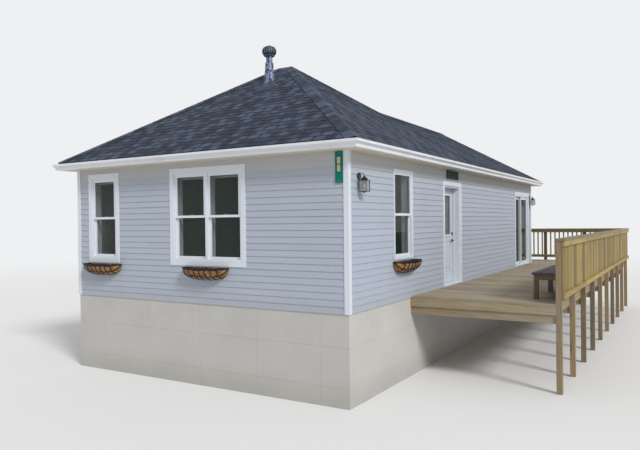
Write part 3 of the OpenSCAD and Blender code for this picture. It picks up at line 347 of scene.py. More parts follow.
class Finish(Nodes):
    """One material round a Principled shader."""

    def __init__(self, name, roughness, metallic=0.0):
        self.material = bpy.data.materials.new(name)
        self.material.use_nodes = True
        super().__init__(self.material.node_tree)
        self.shader = self.tree.nodes["Principled BSDF"]
        self.set("Roughness", roughness)
        self.set("Metallic", metallic)
        self.where = self.node("TexCoord", out="Object")
        self.x, self.y, self.z = self.split(self.where)

    def set(self, name, value):
        """Sets or links a socket of the shader."""
        self.link(self.shader.inputs[name], value)

    def split(self, vector):
        """The three parts of a vector."""
        made = self.tree.nodes.new("ShaderNodeSeparateXYZ")
        self.tree.links.new(vector.socket, made.inputs[0])
        return [Num(self, output) for output in made.outputs]

    def vector(self, x, y, z):
        """A vector from three numbers."""
        return self.node("CombineXYZ", None, {"X": x, "Y": y, "Z": z})

    def noise(self, vector, scale, detail, rough=0.55):
        """Soft noise from 0 to 1."""
        return self.node("TexNoise", None, {"Vector": vector, "Scale": scale, "Detail": detail,
                                            "Roughness": rough}, out="Fac")

    def dice(self, number):
        """A random value from 0 to 1 for each number."""
        return self.node("TexWhiteNoise", {"noise_dimensions": "1D"}, {"W": number}, out="Value")

    def cells(self, vector, scale, out="Distance"):
        """How far the nearest of many scattered points is, or the Color of its cell."""
        return self.node("TexVoronoi", {"feature": "F1"}, {"Vector": vector, "Scale": scale},
                         out=out)

    def tone(self):
        """The tone that a piece's faces got from shade."""
        return self.node("Attribute", {"attribute_name": "tone"}, out="Fac")

    def mix(self, first, second, factor):
        """Two colours mixed by a factor."""
        return self.node("Mix", {"data_type": "RGBA", "clamp_factor": True},
                         {0: factor, 6: first, 7: second}, out=2)

    def scale(self, colour, factor):
        """A colour made darker or lighter by a number."""
        if not isinstance(colour, Num):
            colour = colour[:3]
        return self.node("VectorMath", {"operation": "SCALE"}, {0: colour, "Scale": factor})

    def bump(self, height, distance, strength):
        """Raises the surface by a height from 0 to 1 times a distance in metres."""
        self.set("Normal", self.node("Bump", None, {"Height": height, "Distance": distance,
                                                    "Strength": strength}))


def siding_paint(colour):
    """Embossed lap siding in one paint: faint joints, dust low down, and a lighter, warmer band
    under the eaves that is painted bounce light.
    """
    board_l = 3.66
    f = Finish("Siding_Paint", 0.62)
    run = f.x + f.y
    course = ((f.z - (ORIGIN.z - SIDING_DROP)) / COURSE).floor()
    shifted = run + f.dice(course) * board_l
    joint = shifted.lines(board_l, 0.0005, 0.0009)
    grain = f.noise(f.vector(run * 5, course * 0.37, f.z * 210), 1.0, 4.0)
    cloud = f.noise(f.where, 0.9, 3.0)
    board = f.dice(course * 3.1 + (shifted / board_l).floor())
    tone = 0.95 + board * 0.045 + cloud * 0.06 + grain * 0.03
    base = f.scale(colour, tone)
    dust = (1 - f.z.ramp(ORIGIN.z - 0.03, ORIGIN.z + 0.28)) * f.noise(f.where, 6.0, 4.0) * 0.4
    base = f.mix(base, (0.33, 0.31, 0.27), dust)
    # Painted light: the band just under the eaves is lightened and warmed to stand in for light
    # bounced down from the soffit
    before_gable = f.y < (ORIGIN.y + HOUSE_L + 0.001)
    painted_eave_glow = f.z.ramp(ORIGIN.z + 2.0, ORIGIN.z + 2.42) * before_gable
    base = f.mix(base, (0.56, 0.53, 0.43), painted_eave_glow * (0.34 + cloud * 0.2))
    streak = f.noise(f.vector(run * 9, 0.0, f.z * 0.7), 1.0, 3.0).ramp(0.62, 0.8) * 0.12
    base = f.mix(base, (0.3, 0.31, 0.33), streak)
    f.set("Base Color", f.mix(base, (0.12, 0.125, 0.14), joint * 0.3))
    f.set("Roughness", 0.52 + grain * 0.18)
    f.bump(grain * 0.8 - joint, 0.0012, 0.5)
    return f.material


def paint(name, colour, roughness, brush=0.0004, dirt=0.1):
    """Paint over board or vinyl: slight brush marks and a soft film of dirt."""
    f = Finish(name, roughness)
    cloud = f.noise(f.where, 2.3, 4.0)
    fine = f.noise(f.where, 70.0, 3.0)
    grime = cloud.ramp(0.5, 0.78) * dirt
    base = f.scale(colour, 0.965 + fine * 0.05)
    f.set("Base Color", f.mix(base, (0.36, 0.34, 0.3), grime))
    f.set("Roughness", roughness - 0.05 + fine * 0.1 + grime * 0.4)
    f.bump(fine, brush, 0.6)
    return f.material


def granules(roof):
    """Mineral granules of laminated shingles: each tab has its own tone."""
    f = Finish("Shingle_Granules", 0.92)
    speck = f.noise(f.where, 320.0, 2.0, 0.7)
    blend = f.noise(f.where, 1.6, 3.0)
    share = (f.tone() * 0.85 + blend * 0.3 - 0.08 + (speck - 0.5) * 0.9).limit()
    base = f.mix(roof.dark, roof.pale, share)
    rust = f.noise(f.where, 45.0, 2.0).ramp(0.6, 0.72) * 0.1
    f.set("Base Color", f.mix(base, (0.11, 0.085, 0.07), rust))
    f.set("Roughness", 0.86 + speck * 0.12)
    f.bump(speck, 0.0016, 0.8)
    return f.material


def timber(name, colour, along, weather, wear=(0.3, 0.29, 0.27), spread=0.32, rows=None,
           ends=None):
    """Sawn timber with its grain along one axis, and a tone of its own for every board.

    The tone is that of the faces, or goes by the place where rows gives an axis and the pitch
    of the boards along it. Before and after the two places in ends, the grain runs across.
    """
    roughness, knots = 0.72, 0.5
    f = Finish(name, roughness)
    if ends:
        turned = (f.y < ends[0]) + (f.y > ends[1])
        f.x, f.y = f.x + (f.y - f.x) * turned, f.y + (f.x - f.y) * turned
    axes = {"x": f.x, "y": f.y, "z": f.z}
    if rows:
        key = (axes[rows[0]] / rows[1]).floor() * 1.37
    else:
        key = f.tone() * 97.0
    toss = f.dice(key)
    place = f.vector(*[value * (0.9 if axis == along else 13) + toss * offset
                       for (axis, value), offset in zip(axes.items(), (31, 17, 23))])
    rings = f.noise(place, 1.0, 5.0, 0.6)
    bands = f.node("TexWave", {"wave_type": "BANDS", "bands_direction": "DIAGONAL"},
                   {"Vector": place, "Scale": 0.85, "Distortion": 9.0, "Detail": 3.0,
                    "Detail Scale": 1.2}, out="Fac")
    fibre = f.noise(place, 11.0, 3.0, 0.7)
    light = f.scale(colour, 1.0 + (toss - 0.5) * spread)
    dark = f.scale(colour, 0.5 + (toss - 0.5) * spread * 0.5)
    base = f.mix(light, dark, (bands * 0.35 + rings.ramp(0.42, 0.7) * 0.4 + fibre * 0.2).limit())
    knot_place = f.vector(*[value * (1.1 if axis == along else 5.5) + toss * 9
                            for axis, value in axes.items()])
    knot = (1 - f.cells(knot_place, 1.0).ramp(0.05, 0.14)) * knots
    base = f.mix(base, f.scale(colour, 0.24), knot)
    grey = f.noise(f.where, 1.9, 4.0).ramp(0.3, 0.75) + fibre.ramp(0.5, 0.9) * 0.5
    f.set("Base Color", f.mix(base, wear, (grey * weather).limit()))
    f.set("Roughness", roughness - 0.06 + fibre * 0.16)
    f.bump(fibre * 0.6 + rings * 0.4 - knot * 0.3, 0.0022, 0.7)
    return f.material


def coat(name, colour, roughness, metallic=0.0, grain=40.0):
    """Smooth painted or bare metal with a slight mottle."""
    f = Finish(name, roughness, metallic)
    mottle = f.noise(f.where, grain, 4.0)
    f.set("Base Color", f.scale(colour, 0.94 + mottle * 0.12))
    f.set("Roughness", roughness - 0.06 + mottle * 0.12)
    f.bump(mottle, 0.0003, 0.5)
    return f.material


def plate_enamel(plate, board):
    """Dull enamel: one colour on the plate in front of the wall, one on the board over the door."""
    f = Finish("Plate_And_Board_Enamel", 0.6)
    f.set("Specular IOR Level", 0.2)
    mottle = f.noise(f.where, 30.0, 4.0)
    base = f.mix(board, plate, f.y < (ORIGIN.y + 0.01))
    f.set("Base Color", f.scale(base, 0.9 + mottle * 0.2))
    f.set("Roughness", 0.55 + mottle * 0.12)
    return f.material


def galvanized(name, dull, bright, grime_and_shade_tone):
    """Zinc-coated sheet: crystals, dull patches, and dark runs that are partly weathering and
    partly painted shade streaks.
    """
    f = Finish(name, 0.5, 0.3)
    tint = f.node("RGBToBW", None, {0: f.cells(f.where, 38.0, "Color")})
    run = f.noise(f.vector(f.x * 22, f.y * 22, f.z * 13), 1.0, 4.0)
    base = f.mix(dull, bright, (tint * 0.5 + run * 0.5).limit())
    # Dark runs: partly weathering, partly painted shade
    grime = run.ramp(0.47, 0.56) * 0.9
    f.set("Base Color", f.mix(base, grime_and_shade_tone, grime))
    f.set("Roughness", 0.42 + tint * 0.14 + grime * 0.3)
    f.bump(tint * 0.3 + run * 0.7, 0.0006, 0.5)
    return f.material


def clear_glass(name, colour, alpha, roughness=0.04):
    """Flat glass that shows a little of what is behind it."""
    f = Finish(name, roughness)
    f.set("Base Color", colour)
    wave = f.noise(f.where, 3.0, 2.0)
    film = f.noise(f.where, 9.0, 4.0).ramp(0.45, 0.85)
    f.set("Roughness", roughness + film * 0.07)
    f.set("Alpha", alpha + film * 0.06)
    f.bump(wave, 0.0012, 0.4)
    return f.material


def soffit_boards(colour):
    """Grooved soffit panels, laid square to the walls."""
    f = Finish("Soffit_Boards", 0.6)
    front = f.y < (ORIGIN.y + 0.001)
    run = f.x * front + f.y * (1 - front)
    groove = run.lines(0.1, 0.02, 0.05)
    seam = run.lines(0.3, 0.006, 0.012)
    cloud = f.noise(f.where, 1.7, 4.0)
    base = f.scale(colour, 0.93 + cloud * 0.12)
    f.set("Base Color", f.mix(base, (0.3, 0.27, 0.23), (groove * 0.35 + seam * 0.5).limit()))
    f.bump(1 - groove - seam * 0.6, 0.004, 0.8)
    return f.material


def poured_concrete():
    """Cast foundation concrete with board lines, pores and damp at its foot."""
    f = Finish("Poured_Concrete", 0.88)
    run = f.x + f.y
    lift = f.z.lines(0.61, 0.003, 0.007)
    sheet = run.lines(1.22, 0.0015, 0.0035)
    cloud = f.noise(f.where, 1.3, 5.0)
    sand = f.noise(f.where, 120.0, 3.0)
    pore = 1 - f.cells(f.where, 26.0).ramp(0.06, 0.16)
    base = f.mix((0.4, 0.39, 0.37), (0.56, 0.55, 0.52), (cloud * 0.8 + sand * 0.25).limit())
    damp = (1 - f.z.ramp(0.02, 0.5)) * f.noise(f.where, 2.6, 4.0)
    base = f.mix(base, (0.23, 0.22, 0.19), damp * 0.6)
    line = (lift + sheet).limit()
    f.set("Base Color", f.mix(base, (0.3, 0.29, 0.27), (line * 0.45 + pore * 0.4).limit()))
    f.bump(sand * 0.35 + cloud * 0.3 + line * 0.5 - pore * 0.6, 0.004, 0.7)
    return f.material


def floor_planks():
    """Stained floor boards inside, along the house."""
    plank_w, plank_l = 0.13, 2.4
    f = Finish("Floor_Planks", 0.4)
    plank = (f.x / plank_w).floor()
    toss = f.dice(plank * 1.9 + ((f.y + f.dice(plank) * plank_l) / plank_l).floor())
    grain = f.noise(f.vector(f.x * 22 + toss * 9, f.y * 1.3, toss * 5), 1.0, 5.0)
    edge = f.x.lines(plank_w, 0.008, 0.02)
    base = f.mix((0.13, 0.07, 0.035), (0.3, 0.17, 0.09), (grain * 0.7 + toss * 0.4).limit())
    f.set("Base Color", f.mix(base, (0.03, 0.02, 0.015), edge))
    f.bump(grain * 0.3 - edge, 0.0012, 0.6)
    return f.material


def fibre_mat(colour):
    """Pressed coconut fibre: long tangled strands with painted shade in the gaps between them, pale
    broken ends, and near-black painted shade on the liner's inside.
    """
    f = Finish("Coconut_Fibre", 0.95)
    bend = f.noise(f.where, 6.0, 2.0)
    strand = f.noise(f.vector(f.x * 30 + bend * 24, f.y * 30 - bend * 20, f.z * 95), 1.0, 4.0, 0.7)
    cross = f.noise(f.vector(f.x * 150, f.y * 150 + bend * 30, f.z * 26), 1.0, 3.0, 0.7)
    gap = (strand * 0.6 + cross * 0.4).ramp(0.36, 0.52)
    clump = f.noise(f.where, 13.0, 3.0)
    # Painted shade: where the strands thin out, the gaps between them go dark
    base = f.mix(f.scale(colour, 0.18), f.scale(colour, 1.0), gap)
    base = f.mix(base, f.scale(colour, 1.75), (strand.ramp(0.6, 0.78) * 0.7).limit())
    base = f.mix(base, f.scale(colour, 0.3), clump.ramp(0.5, 0.75) * 0.65)
    base = f.mix(base, (0.5, 0.35, 0.2), (1 - clump).ramp(0.54, 0.66) * 0.5)
    # Painted shade: faces with tone 0, the liner's inside, go near-black blue
    f.set("Base Color", f.mix((0.006, 0.007, 0.011), base, f.tone()))
    f.bump(strand * 0.6 + cross * 0.4, 0.006, 0.9)
    return f.material


# ------------------------------------------------------------------ modelling


def only(obj):
    """Leaves one object selected and active."""
    bpy.ops.object.select_all(action="DESELECT")
    obj.select_set(True)
    bpy.context.view_layer.objects.active = obj
    return obj


def settle(obj, name):
    """Names an object and puts its place, turn and size into its mesh."""
    only(obj)
    obj.name = name
    obj.data.name = name
    bpy.ops.object.transform_apply(location=True, rotation=True, scale=True)
    return obj


def cube(name, lo, hi):
    """A box between two corners, as the start of a piece."""
    lo, hi = Vector(lo), Vector(hi)
    bpy.ops.object.select_all(action="DESELECT")
    bpy.ops.mesh.primitive_cube_add(size=1, location=(lo + hi) / 2)
    obj = bpy.context.object
    obj.scale = hi - lo
    return settle(obj, name)


def rod(name, foot, radius, length, sides, along="z"):
    """A round bar along an axis from its foot, as the start of a piece."""
    way, turn = {"x": (Vector((1, 0, 0)), (0, math.pi / 2, 0)),
                 "y": (Vector((0, 1, 0)), (-math.pi / 2, 0, 0)),
                 "z": (Vector((0, 0, 1)), (0, 0, 0))}[along]
    bpy.ops.object.select_all(action="DESELECT")
    bpy.ops.mesh.primitive_cylinder_add(vertices=sides, radius=radius, depth=length,
                                        location=Vector(foot) + way * length / 2, rotation=turn)
    return settle(bpy.context.object, name)


def pick(obj, test, kind="FACE"):
    """Selects the faces, edges or vertices that pass a test, and stays in edit mode."""
    only(obj)
    bpy.ops.object.mode_set(mode="EDIT")
    bpy.ops.mesh.select_mode(type=kind)
    bpy.ops.mesh.select_all(action="DESELECT")
    bpy.ops.object.mode_set(mode="OBJECT")
    parts = {"FACE": obj.data.polygons, "EDGE": obj.data.edges, "VERT": obj.data.vertices}[kind]
    for part in parts:
        part.select = bool(test(part))
    bpy.ops.object.mode_set(mode="EDIT")


def leave():
    """Goes back to object mode."""
    bpy.ops.object.mode_set(mode="OBJECT")


def whole(obj):
    """Selects all of a piece, and stays in edit mode."""
    only(obj)
    bpy.ops.object.mode_set(mode="EDIT")
    bpy.ops.mesh.select_all(action="SELECT")


def face_out(obj):
    """Turns all faces of a piece outwards."""
    whole(obj)
    bpy.ops.mesh.normals_make_consistent(inside=False)
    leave()
    return obj


def nudge(obj, test, move):
    """Moves the vertices that pass a test."""
    pick(obj, test, "VERT")
    bpy.ops.transform.translate(value=move)
    leave()
    return obj


def hollow(obj, axis, rim):
    """Opens a box right through along an axis, and leaves a frame with a rim of one width."""
    index = "xyz".index(axis)
    pick(obj, lambda p: abs(p.normal[index]) > 0.9)
    bpy.ops.mesh.inset(thickness=rim)
    bpy.ops.mesh.delete(type="FACE")
    leave()
    # The open rims of both faces become the frame's inner faces
    pick(obj, lambda e: False, "EDGE")
    bpy.ops.mesh.select_non_manifold()
    bpy.ops.mesh.bridge_edge_loops()
    leave()
    return face_out(obj)


def modify(obj, kind, **settings):
    """Gives a piece one modifier with its settings, and applies it."""
    only(obj)
    bpy.ops.object.modifier_add(type=kind)
    added = obj.modifiers[-1]
    for name, value in settings.items():
        setattr(added, name, value)
    bpy.ops.object.modifier_apply(modifier=added.name)
    return obj


def bevel(obj, width, segments=1):
    """Rounds the edges of a piece."""
    return modify(obj, "BEVEL", width=width, segments=segments, limit_method="ANGLE")


def row(obj, step, count):
    """Repeats a piece in a straight row."""
    if count < 2:
        return obj
    return modify(obj, "ARRAY", use_relative_offset=False, use_constant_offset=True,
                  constant_offset_displace=step, count=count)


def twin(obj, matrix):
    """A copy with its own mesh, moved by a matrix."""
    made = obj.copy()
    made.data = obj.data.copy()
    made.data.transform(matrix)
    bpy.context.collection.objects.link(made)
    return made


def drop(obj):
    """Removes a pattern piece once its copies are made."""
    bpy.data.objects.remove(obj, do_unlink=True)


def join(parts, name):
    """Joins pieces into one."""
    bpy.ops.object.select_all(action="DESELECT")
    for part in parts:
        part.select_set(True)
    bpy.context.view_layer.objects.active = parts[0]
    if len(parts) > 1:
        bpy.ops.object.join()
    parts[0].name = name
    parts[0].data.name = name
    return parts[0]


def shade(obj, value):
    """Gives every face of a piece one tone, from 0 to 1, which its finish reads."""
    layer = obj.data.attributes.get("tone") or obj.data.attributes.new("tone", "FLOAT", "FACE")
    for item in layer.data:
        item.value = value
    return obj


def cut(obj, point, normal, fill=False):
    """Cuts a piece by a plane and keeps the side that the normal points away from."""
    whole(obj)
    bpy.ops.mesh.bisect(plane_co=point, plane_no=normal, clear_outer=True, use_fill=fill)
    leave()
    return obj


def hand_in(obj, body, slot, material, *stands_for):
    """Gives a finished piece its material and body, and hides the nodes it stands for. The slot is
    not used.
    """
    obj.data.materials.clear()
    obj.data.materials.append(material)
    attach(obj, body)
    if stands_for:
        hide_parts(*stands_for)
    return obj


def lumber(name, lo, hi, toss, edge=0.003):
    """One sawn board with eased edges and a tone of its own."""
    return shade(bevel(cube(name, lo, hi), edge), toss.random())


def wall_matrix(side, along):
    """Matrix at a place on a wall: X along it, Y into the house, Z up."""
    place, turn = {"front": ((along, 0, 0), 0),
                   "right": ((HALF_W, along, 0), math.pi / 2),
                   "left": ((-HALF_W, along, 0), -math.pi / 2),
                   "rear": ((along, HOUSE_L, 0), math.pi)}[side]
    return Matrix.Translation(spot(*place)) @ Matrix.Rotation(turn, 4, "Z")


# ------------------------------------------------------------------ operators


class BOATHOUSE_OT_stage(bpy.types.Operator):
    """Pale floor, broad soft light and the camera at the photograph's viewpoint"""

    bl_idname = "boathouse.stage"
    bl_label = "Stage"

    def execute(self, context):
        options = context.scene.boathouse_stage
        # Place and turn fitted to the edges in the photograph
        place = (6.284, -14.996, 2.82)
        yaw, pitch, roll = (math.radians(angle) for angle in (31.0, -0.29, -0.61))
        bpy.ops.object.select_all(action="DESELECT")
        bpy.ops.object.camera_add(location=place)
        camera = context.object
        camera.name = "Viewpoint"
        camera.matrix_world = (Matrix.Translation(camera.location)
                               @ Matrix.Rotation(yaw, 4, "Z")
                               @ Matrix.Rotation(math.pi / 2 + pitch, 4, "X")
                               @ Matrix.Rotation(roll, 4, "Z"))
        camera.data.lens = options.lens
        camera.data.sensor_width = 36
        camera.data.clip_start, camera.data.clip_end = 0.1, 400
        context.scene.camera = camera

        bpy.ops.object.select_all(action="DESELECT")
        bpy.ops.mesh.primitive_circle_add(vertices=96, radius=140, fill_type="NGON")
        floor = context.object
        floor.name = "Studio_Floor"
        f = Finish("Studio_Floor", 0.9)
        f.set("Base Color", (0.8, 0.8, 0.8))
        f.set("Specular IOR Level", 0.2)
        # Lit near the house, and one even backdrop further out
        far = (f.x * f.x + f.y * f.y).root().ramp(13.0, 42.0)
        glow = f.node("Emission", None, {"Color": options.backdrop, "Strength": 1.0})
        blend = f.node("MixShader", None,
                       {0: far * f.seen(), 1: Num(f, f.shader.outputs[0]), 2: glow})
        f.link(f.tree.nodes["Material Output"].inputs["Surface"], blend)
        floor.data.materials.append(f.material)

        world = bpy.data.worlds.new("Studio_World")
        context.scene.world = world
        world.use_nodes = True
        w = Nodes(world.node_tree)
        even = w.tree.nodes["Background"]
        w.link(even.inputs["Color"], (1.0, 1.0, 1.0))
        w.link(even.inputs["Strength"], options.sky)
        plain = w.node("Background", None, {"Color": options.backdrop})
        both = w.node("MixShader", None, {0: w.seen(), 1: Num(w, even.outputs[0]), 2: plain})
        w.link(w.tree.nodes["World Output"].inputs["Surface"], both)

        bpy.ops.object.select_all(action="DESELECT")
        bpy.ops.object.light_add(type="SUN", location=(12, -14, 16))
        key = context.object
        key.name = "Key_Light"
        key.data.energy = options.sun
        key.data.angle = math.radians(14)
        key.rotation_mode = "QUATERNION"
        key.rotation_quaternion = Vector((-0.76, 0.38, -0.61)).to_track_quat("-Z", "Y")
        context.scene.view_settings.view_transform = "Standard"
        return {"FINISHED"}


class BOATHOUSE_OT_finishes(bpy.types.Operator):
    """Materials of the parts that the CAD model already has in their final shape"""

    bl_idname = "boathouse.finishes"
    bl_label = "Finishes"

    def execute(self, context):
        hues = context.scene.boathouse_paint
        for material, *names in (
            (poured_concrete(), "foundation"),
            (floor_planks(), "floor_slab"),
            (siding_paint(hues.siding), "siding"),
            (timber("Framing_Timber", (0.5, 0.36, 0.2), "y", 0.1, rows=("z", 0.1)),
             "wall_plates"),
            (paint("Inner_Wall_Paint", (0.5, 0.5, 0.48), 0.7, 0.0008, 0.04), "front_wall",
             "left_wall", "rear_wall", "right_wall_front", "right_wall_middle",
             "right_wall_rear", "door_heads", "ceiling"),
            (paint("Trim_Paint", hues.trim, 0.42), "corner_boards", "casings", "entry_frame",
             "fascia"),
            (paint("White_Vinyl", [c * 1.03 for c in hues.trim], 0.3, 0.0002, 0.05),
             "window_frames", "window_sashes", "patio_frame", "patio_fixed_panel",
             "patio_slider"),
            # Painted reflection: the window glass's dark green tint stands in for reflected foliage
            (clear_glass("Window_Glass", (0.025, 0.046, 0.036), 0.28), "window_glass",
             "patio_slider_glass"),
            (clear_glass("Door_Glass", (0.1, 0.125, 0.135), 0.7), "entry_glass"),
            (paint("Door_Paint", hues.door, 0.35, 0.0003, 0.05), "entry_door"),
            (coat("Dark_Hardware", (0.02, 0.018, 0.016), 0.32, 0.6), "entry_hardware"),
            (granules(context.scene.boathouse_roof), "front_roof", "rear_roof"),
            (soffit_boards(hues.soffit), "soffit"),
            (paint("Gutter_Enamel", hues.gutter, 0.32, 0.0002, 0.22), "gutters"),
            # Painted shade: both zincs are darkened and blued for the shade they sit in, the
            # turbine's most
            (galvanized("Galvanized_Pipe", (0.07, 0.1, 0.175), (0.36, 0.435, 0.6),
                        (0.016, 0.03, 0.075)), "vent_pipe"),
            (galvanized("Shaded_Turbine_Zinc", (0.035, 0.048, 0.075), (0.17, 0.215, 0.29),
                        (0.035, 0.045, 0.06)), "vent_turbine"),
            (plate_enamel(hues.plate, hues.board), "sign_plates"),
            (coat("Black_Iron", (0.012, 0.012, 0.013), 0.42, 0.3, 60.0), "lantern_frames",
             "basket_frames"),
            (clear_glass("Lantern_Glass", (0.3, 0.33, 0.31), 0.42, 0.08), "lantern_glass"),
            (timber("Frame_Timber", (0.32, 0.245, 0.135), "y", 0.45, rows=("x", 0.5),
                    ends=(DECK_LO.y + 0.06, DECK_HI.y - 0.06)), "deck_frame"),
            (timber("Post_Timber", (0.3, 0.215, 0.11), "z", 0.4, (0.19, 0.175, 0.15), 0.7,
                    rows=("y", 0.7)), "deck_posts"),
            (timber("Weathered_Cap", (0.25, 0.205, 0.115), "y", 0.7, (0.21, 0.2, 0.16),
                    rows=("y", 2.44)), "rail_caps"),
        ):
            for name in names:
                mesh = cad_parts[name].data
                mesh.materials.clear()
                mesh.materials.append(material)
        return {"FINISHED"}


def roof_slope(origin, inward, pitch):
    """Matrix of a slope: X along its eave, Y up it, Z out of it."""
    rise = math.sqrt(1 + pitch * pitch)
    flat = Vector((inward[0], inward[1], 0))
    up = Vector((flat.x / rise, flat.y / rise, pitch / rise))
    out = Vector((-flat.x * pitch / rise, -flat.y * pitch / rise, 1 / rise))
    along = up.cross(out)
    turn = Matrix((along, up, out)).transposed().to_4x4()
    return Matrix.Translation(origin) @ turn


class BOATHOUSE_OT_shingles(bpy.types.Operator):
    """Courses of laminated shingles with raised tabs, cut along the hips and valleys"""

    bl_idname = "boathouse.shingles"
    bl_label = "Shingles"

    def strips(self, roof, toss):
        """Three stretches of course, each with its own run of tabs, repeated into long courses."""
        length, repeats = 2.4, 6
        back = roof.course * 1.1
        made = []
        for _ in range(3):
            base = nudge(cube("strip", (0, 0, 0), (length, back, roof.ply)),
                         lambda v: v.co.y > back / 2 and v.co.z > roof.ply / 2,
                         (0, 0, -roof.ply * 0.9))
            tab = nudge(cube("tab", (0, 0.0005, 0), (1, back, 2 * roof.ply)),
                        lambda v: v.co.y > back / 2 and v.co.z > roof.ply,
                        (0, 0, -roof.ply * 1.85))
            parts = [shade(base, 0.2)]
            place = toss.uniform(0.0, 0.05)
            while place < length - roof.tab_low:
                wide = min(toss.uniform(roof.tab_low, roof.tab_high), length - place)
                flare = toss.uniform(0.85, 1.0)
                one = twin(tab, Matrix.Translation((place, 0, 0))
                           @ Matrix.Diagonal((wide, 1, flare, 1)))
                parts.append(shade(one, toss.choice((0.0, 0.3, 0.5, 0.8, 1.0))))
                place += wide + toss.uniform(0.03, 0.1)
            drop(tab)
            strip = join(parts, "strip")
            # The faces underneath and at the back are never seen
            pick(strip, lambda p: p.normal.z < -0.5 or p.normal.y > 0.5)
            bpy.ops.mesh.delete(type="FACE")
            leave()
            made.append(row(strip, (length, 0, 0), repeats))
        return made

    def execute(self, context):
        roof = context.scene.boathouse_roof
        toss = random.Random(11)
        long_courses = self.strips(roof, toss)
        wide, deep = EAVE_X, HIP_MID + REACH
        over_rake, over_eave = 0.012, 0.014
        end = GABLE_END + over_rake
        lean = (HIP_FAR - VALLEY) / wide
        diag = math.sqrt(0.5)
        # Each slope: name, start of its eave, way in, pitch, eave length, run, cutting planes
        slopes = [
            ("front", (-wide, -REACH), (0, 1), HIP_PITCH, 2 * wide, deep,
             [((-wide, -REACH), (-diag, diag)), ((wide, -REACH), (diag, diag)),
              ((0, HIP_MID), (0, 1))]),
            ("right", (wide, -REACH), (-1, 0), HIP_PITCH, 2 * deep, wide,
             [((wide, -REACH), (-diag, -diag)), ((wide, HIP_FAR), (-diag, diag))]),
            ("left", (-wide, HIP_FAR), (1, 0), HIP_PITCH, 2 * deep, wide,
             [((-wide, -REACH), (diag, -diag)), ((-wide, HIP_FAR), (diag, diag))]),
            ("rear_right", (wide, HIP_FAR), (0, -1), HIP_PITCH, wide, deep,
             [((wide, HIP_FAR), (diag, -diag)), ((0, VALLEY), (-lean, 1)), ((0, 0), (-1, 0)),
              ((0, HIP_MID), (0, -1))]),
            ("rear_left", (0, HIP_FAR), (0, -1), HIP_PITCH, wide, deep,
             [((-wide, HIP_FAR), (-diag, -diag)), ((0, VALLEY), (lean, 1)), ((0, 0), (1, 0)),
              ((0, HIP_MID), (0, -1))]),
            ("gable_right", (wide, VALLEY), (-1, 0), GABLE_PITCH, end - VALLEY, wide,
             [((0, VALLEY), (lean, -1)), ((0, 0), (-1, 0)), ((0, end), (0, 1))]),
            ("gable_left", (-wide, end), (1, 0), GABLE_PITCH, end - VALLEY, wide,
             [((0, VALLEY), (-lean, -1)), ((0, 0), (1, 0)), ((0, end), (0, 1))]),
        ]
        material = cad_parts["front_roof"].data.materials[0]
        for name, start, inward, pitch, length, run, planes in slopes:
            matrix = roof_slope(spot(start[0], start[1], EAVE_Z), inward, pitch)
            count = math.ceil(run * math.sqrt(1 + pitch * pitch) / roof.course) + 1
            courses = []
            for i in range(count):
                source = long_courses[toss.randrange(3)]
                shift = -toss.uniform(0.0, 1.9)
                move = Matrix.Translation((shift, i * roof.course - over_eave, 0))
                courses.append(twin(source, matrix @ move))
            piece = join(courses, "Shingles_" + name)
            along = (matrix.to_3x3() @ Vector((1, 0, 0))).normalized()
            cut(piece, matrix.translation, -along)
            cut(piece, matrix.translation + along * length, along)
            for point, normal in planes:
                cut(piece, spot(point[0], point[1], 0), Vector((*normal, 0)).normalized())
            hand_in(piece, "house", "shingles", material)
        for source in long_courses:
            drop(source)
        return {"FINISHED"}


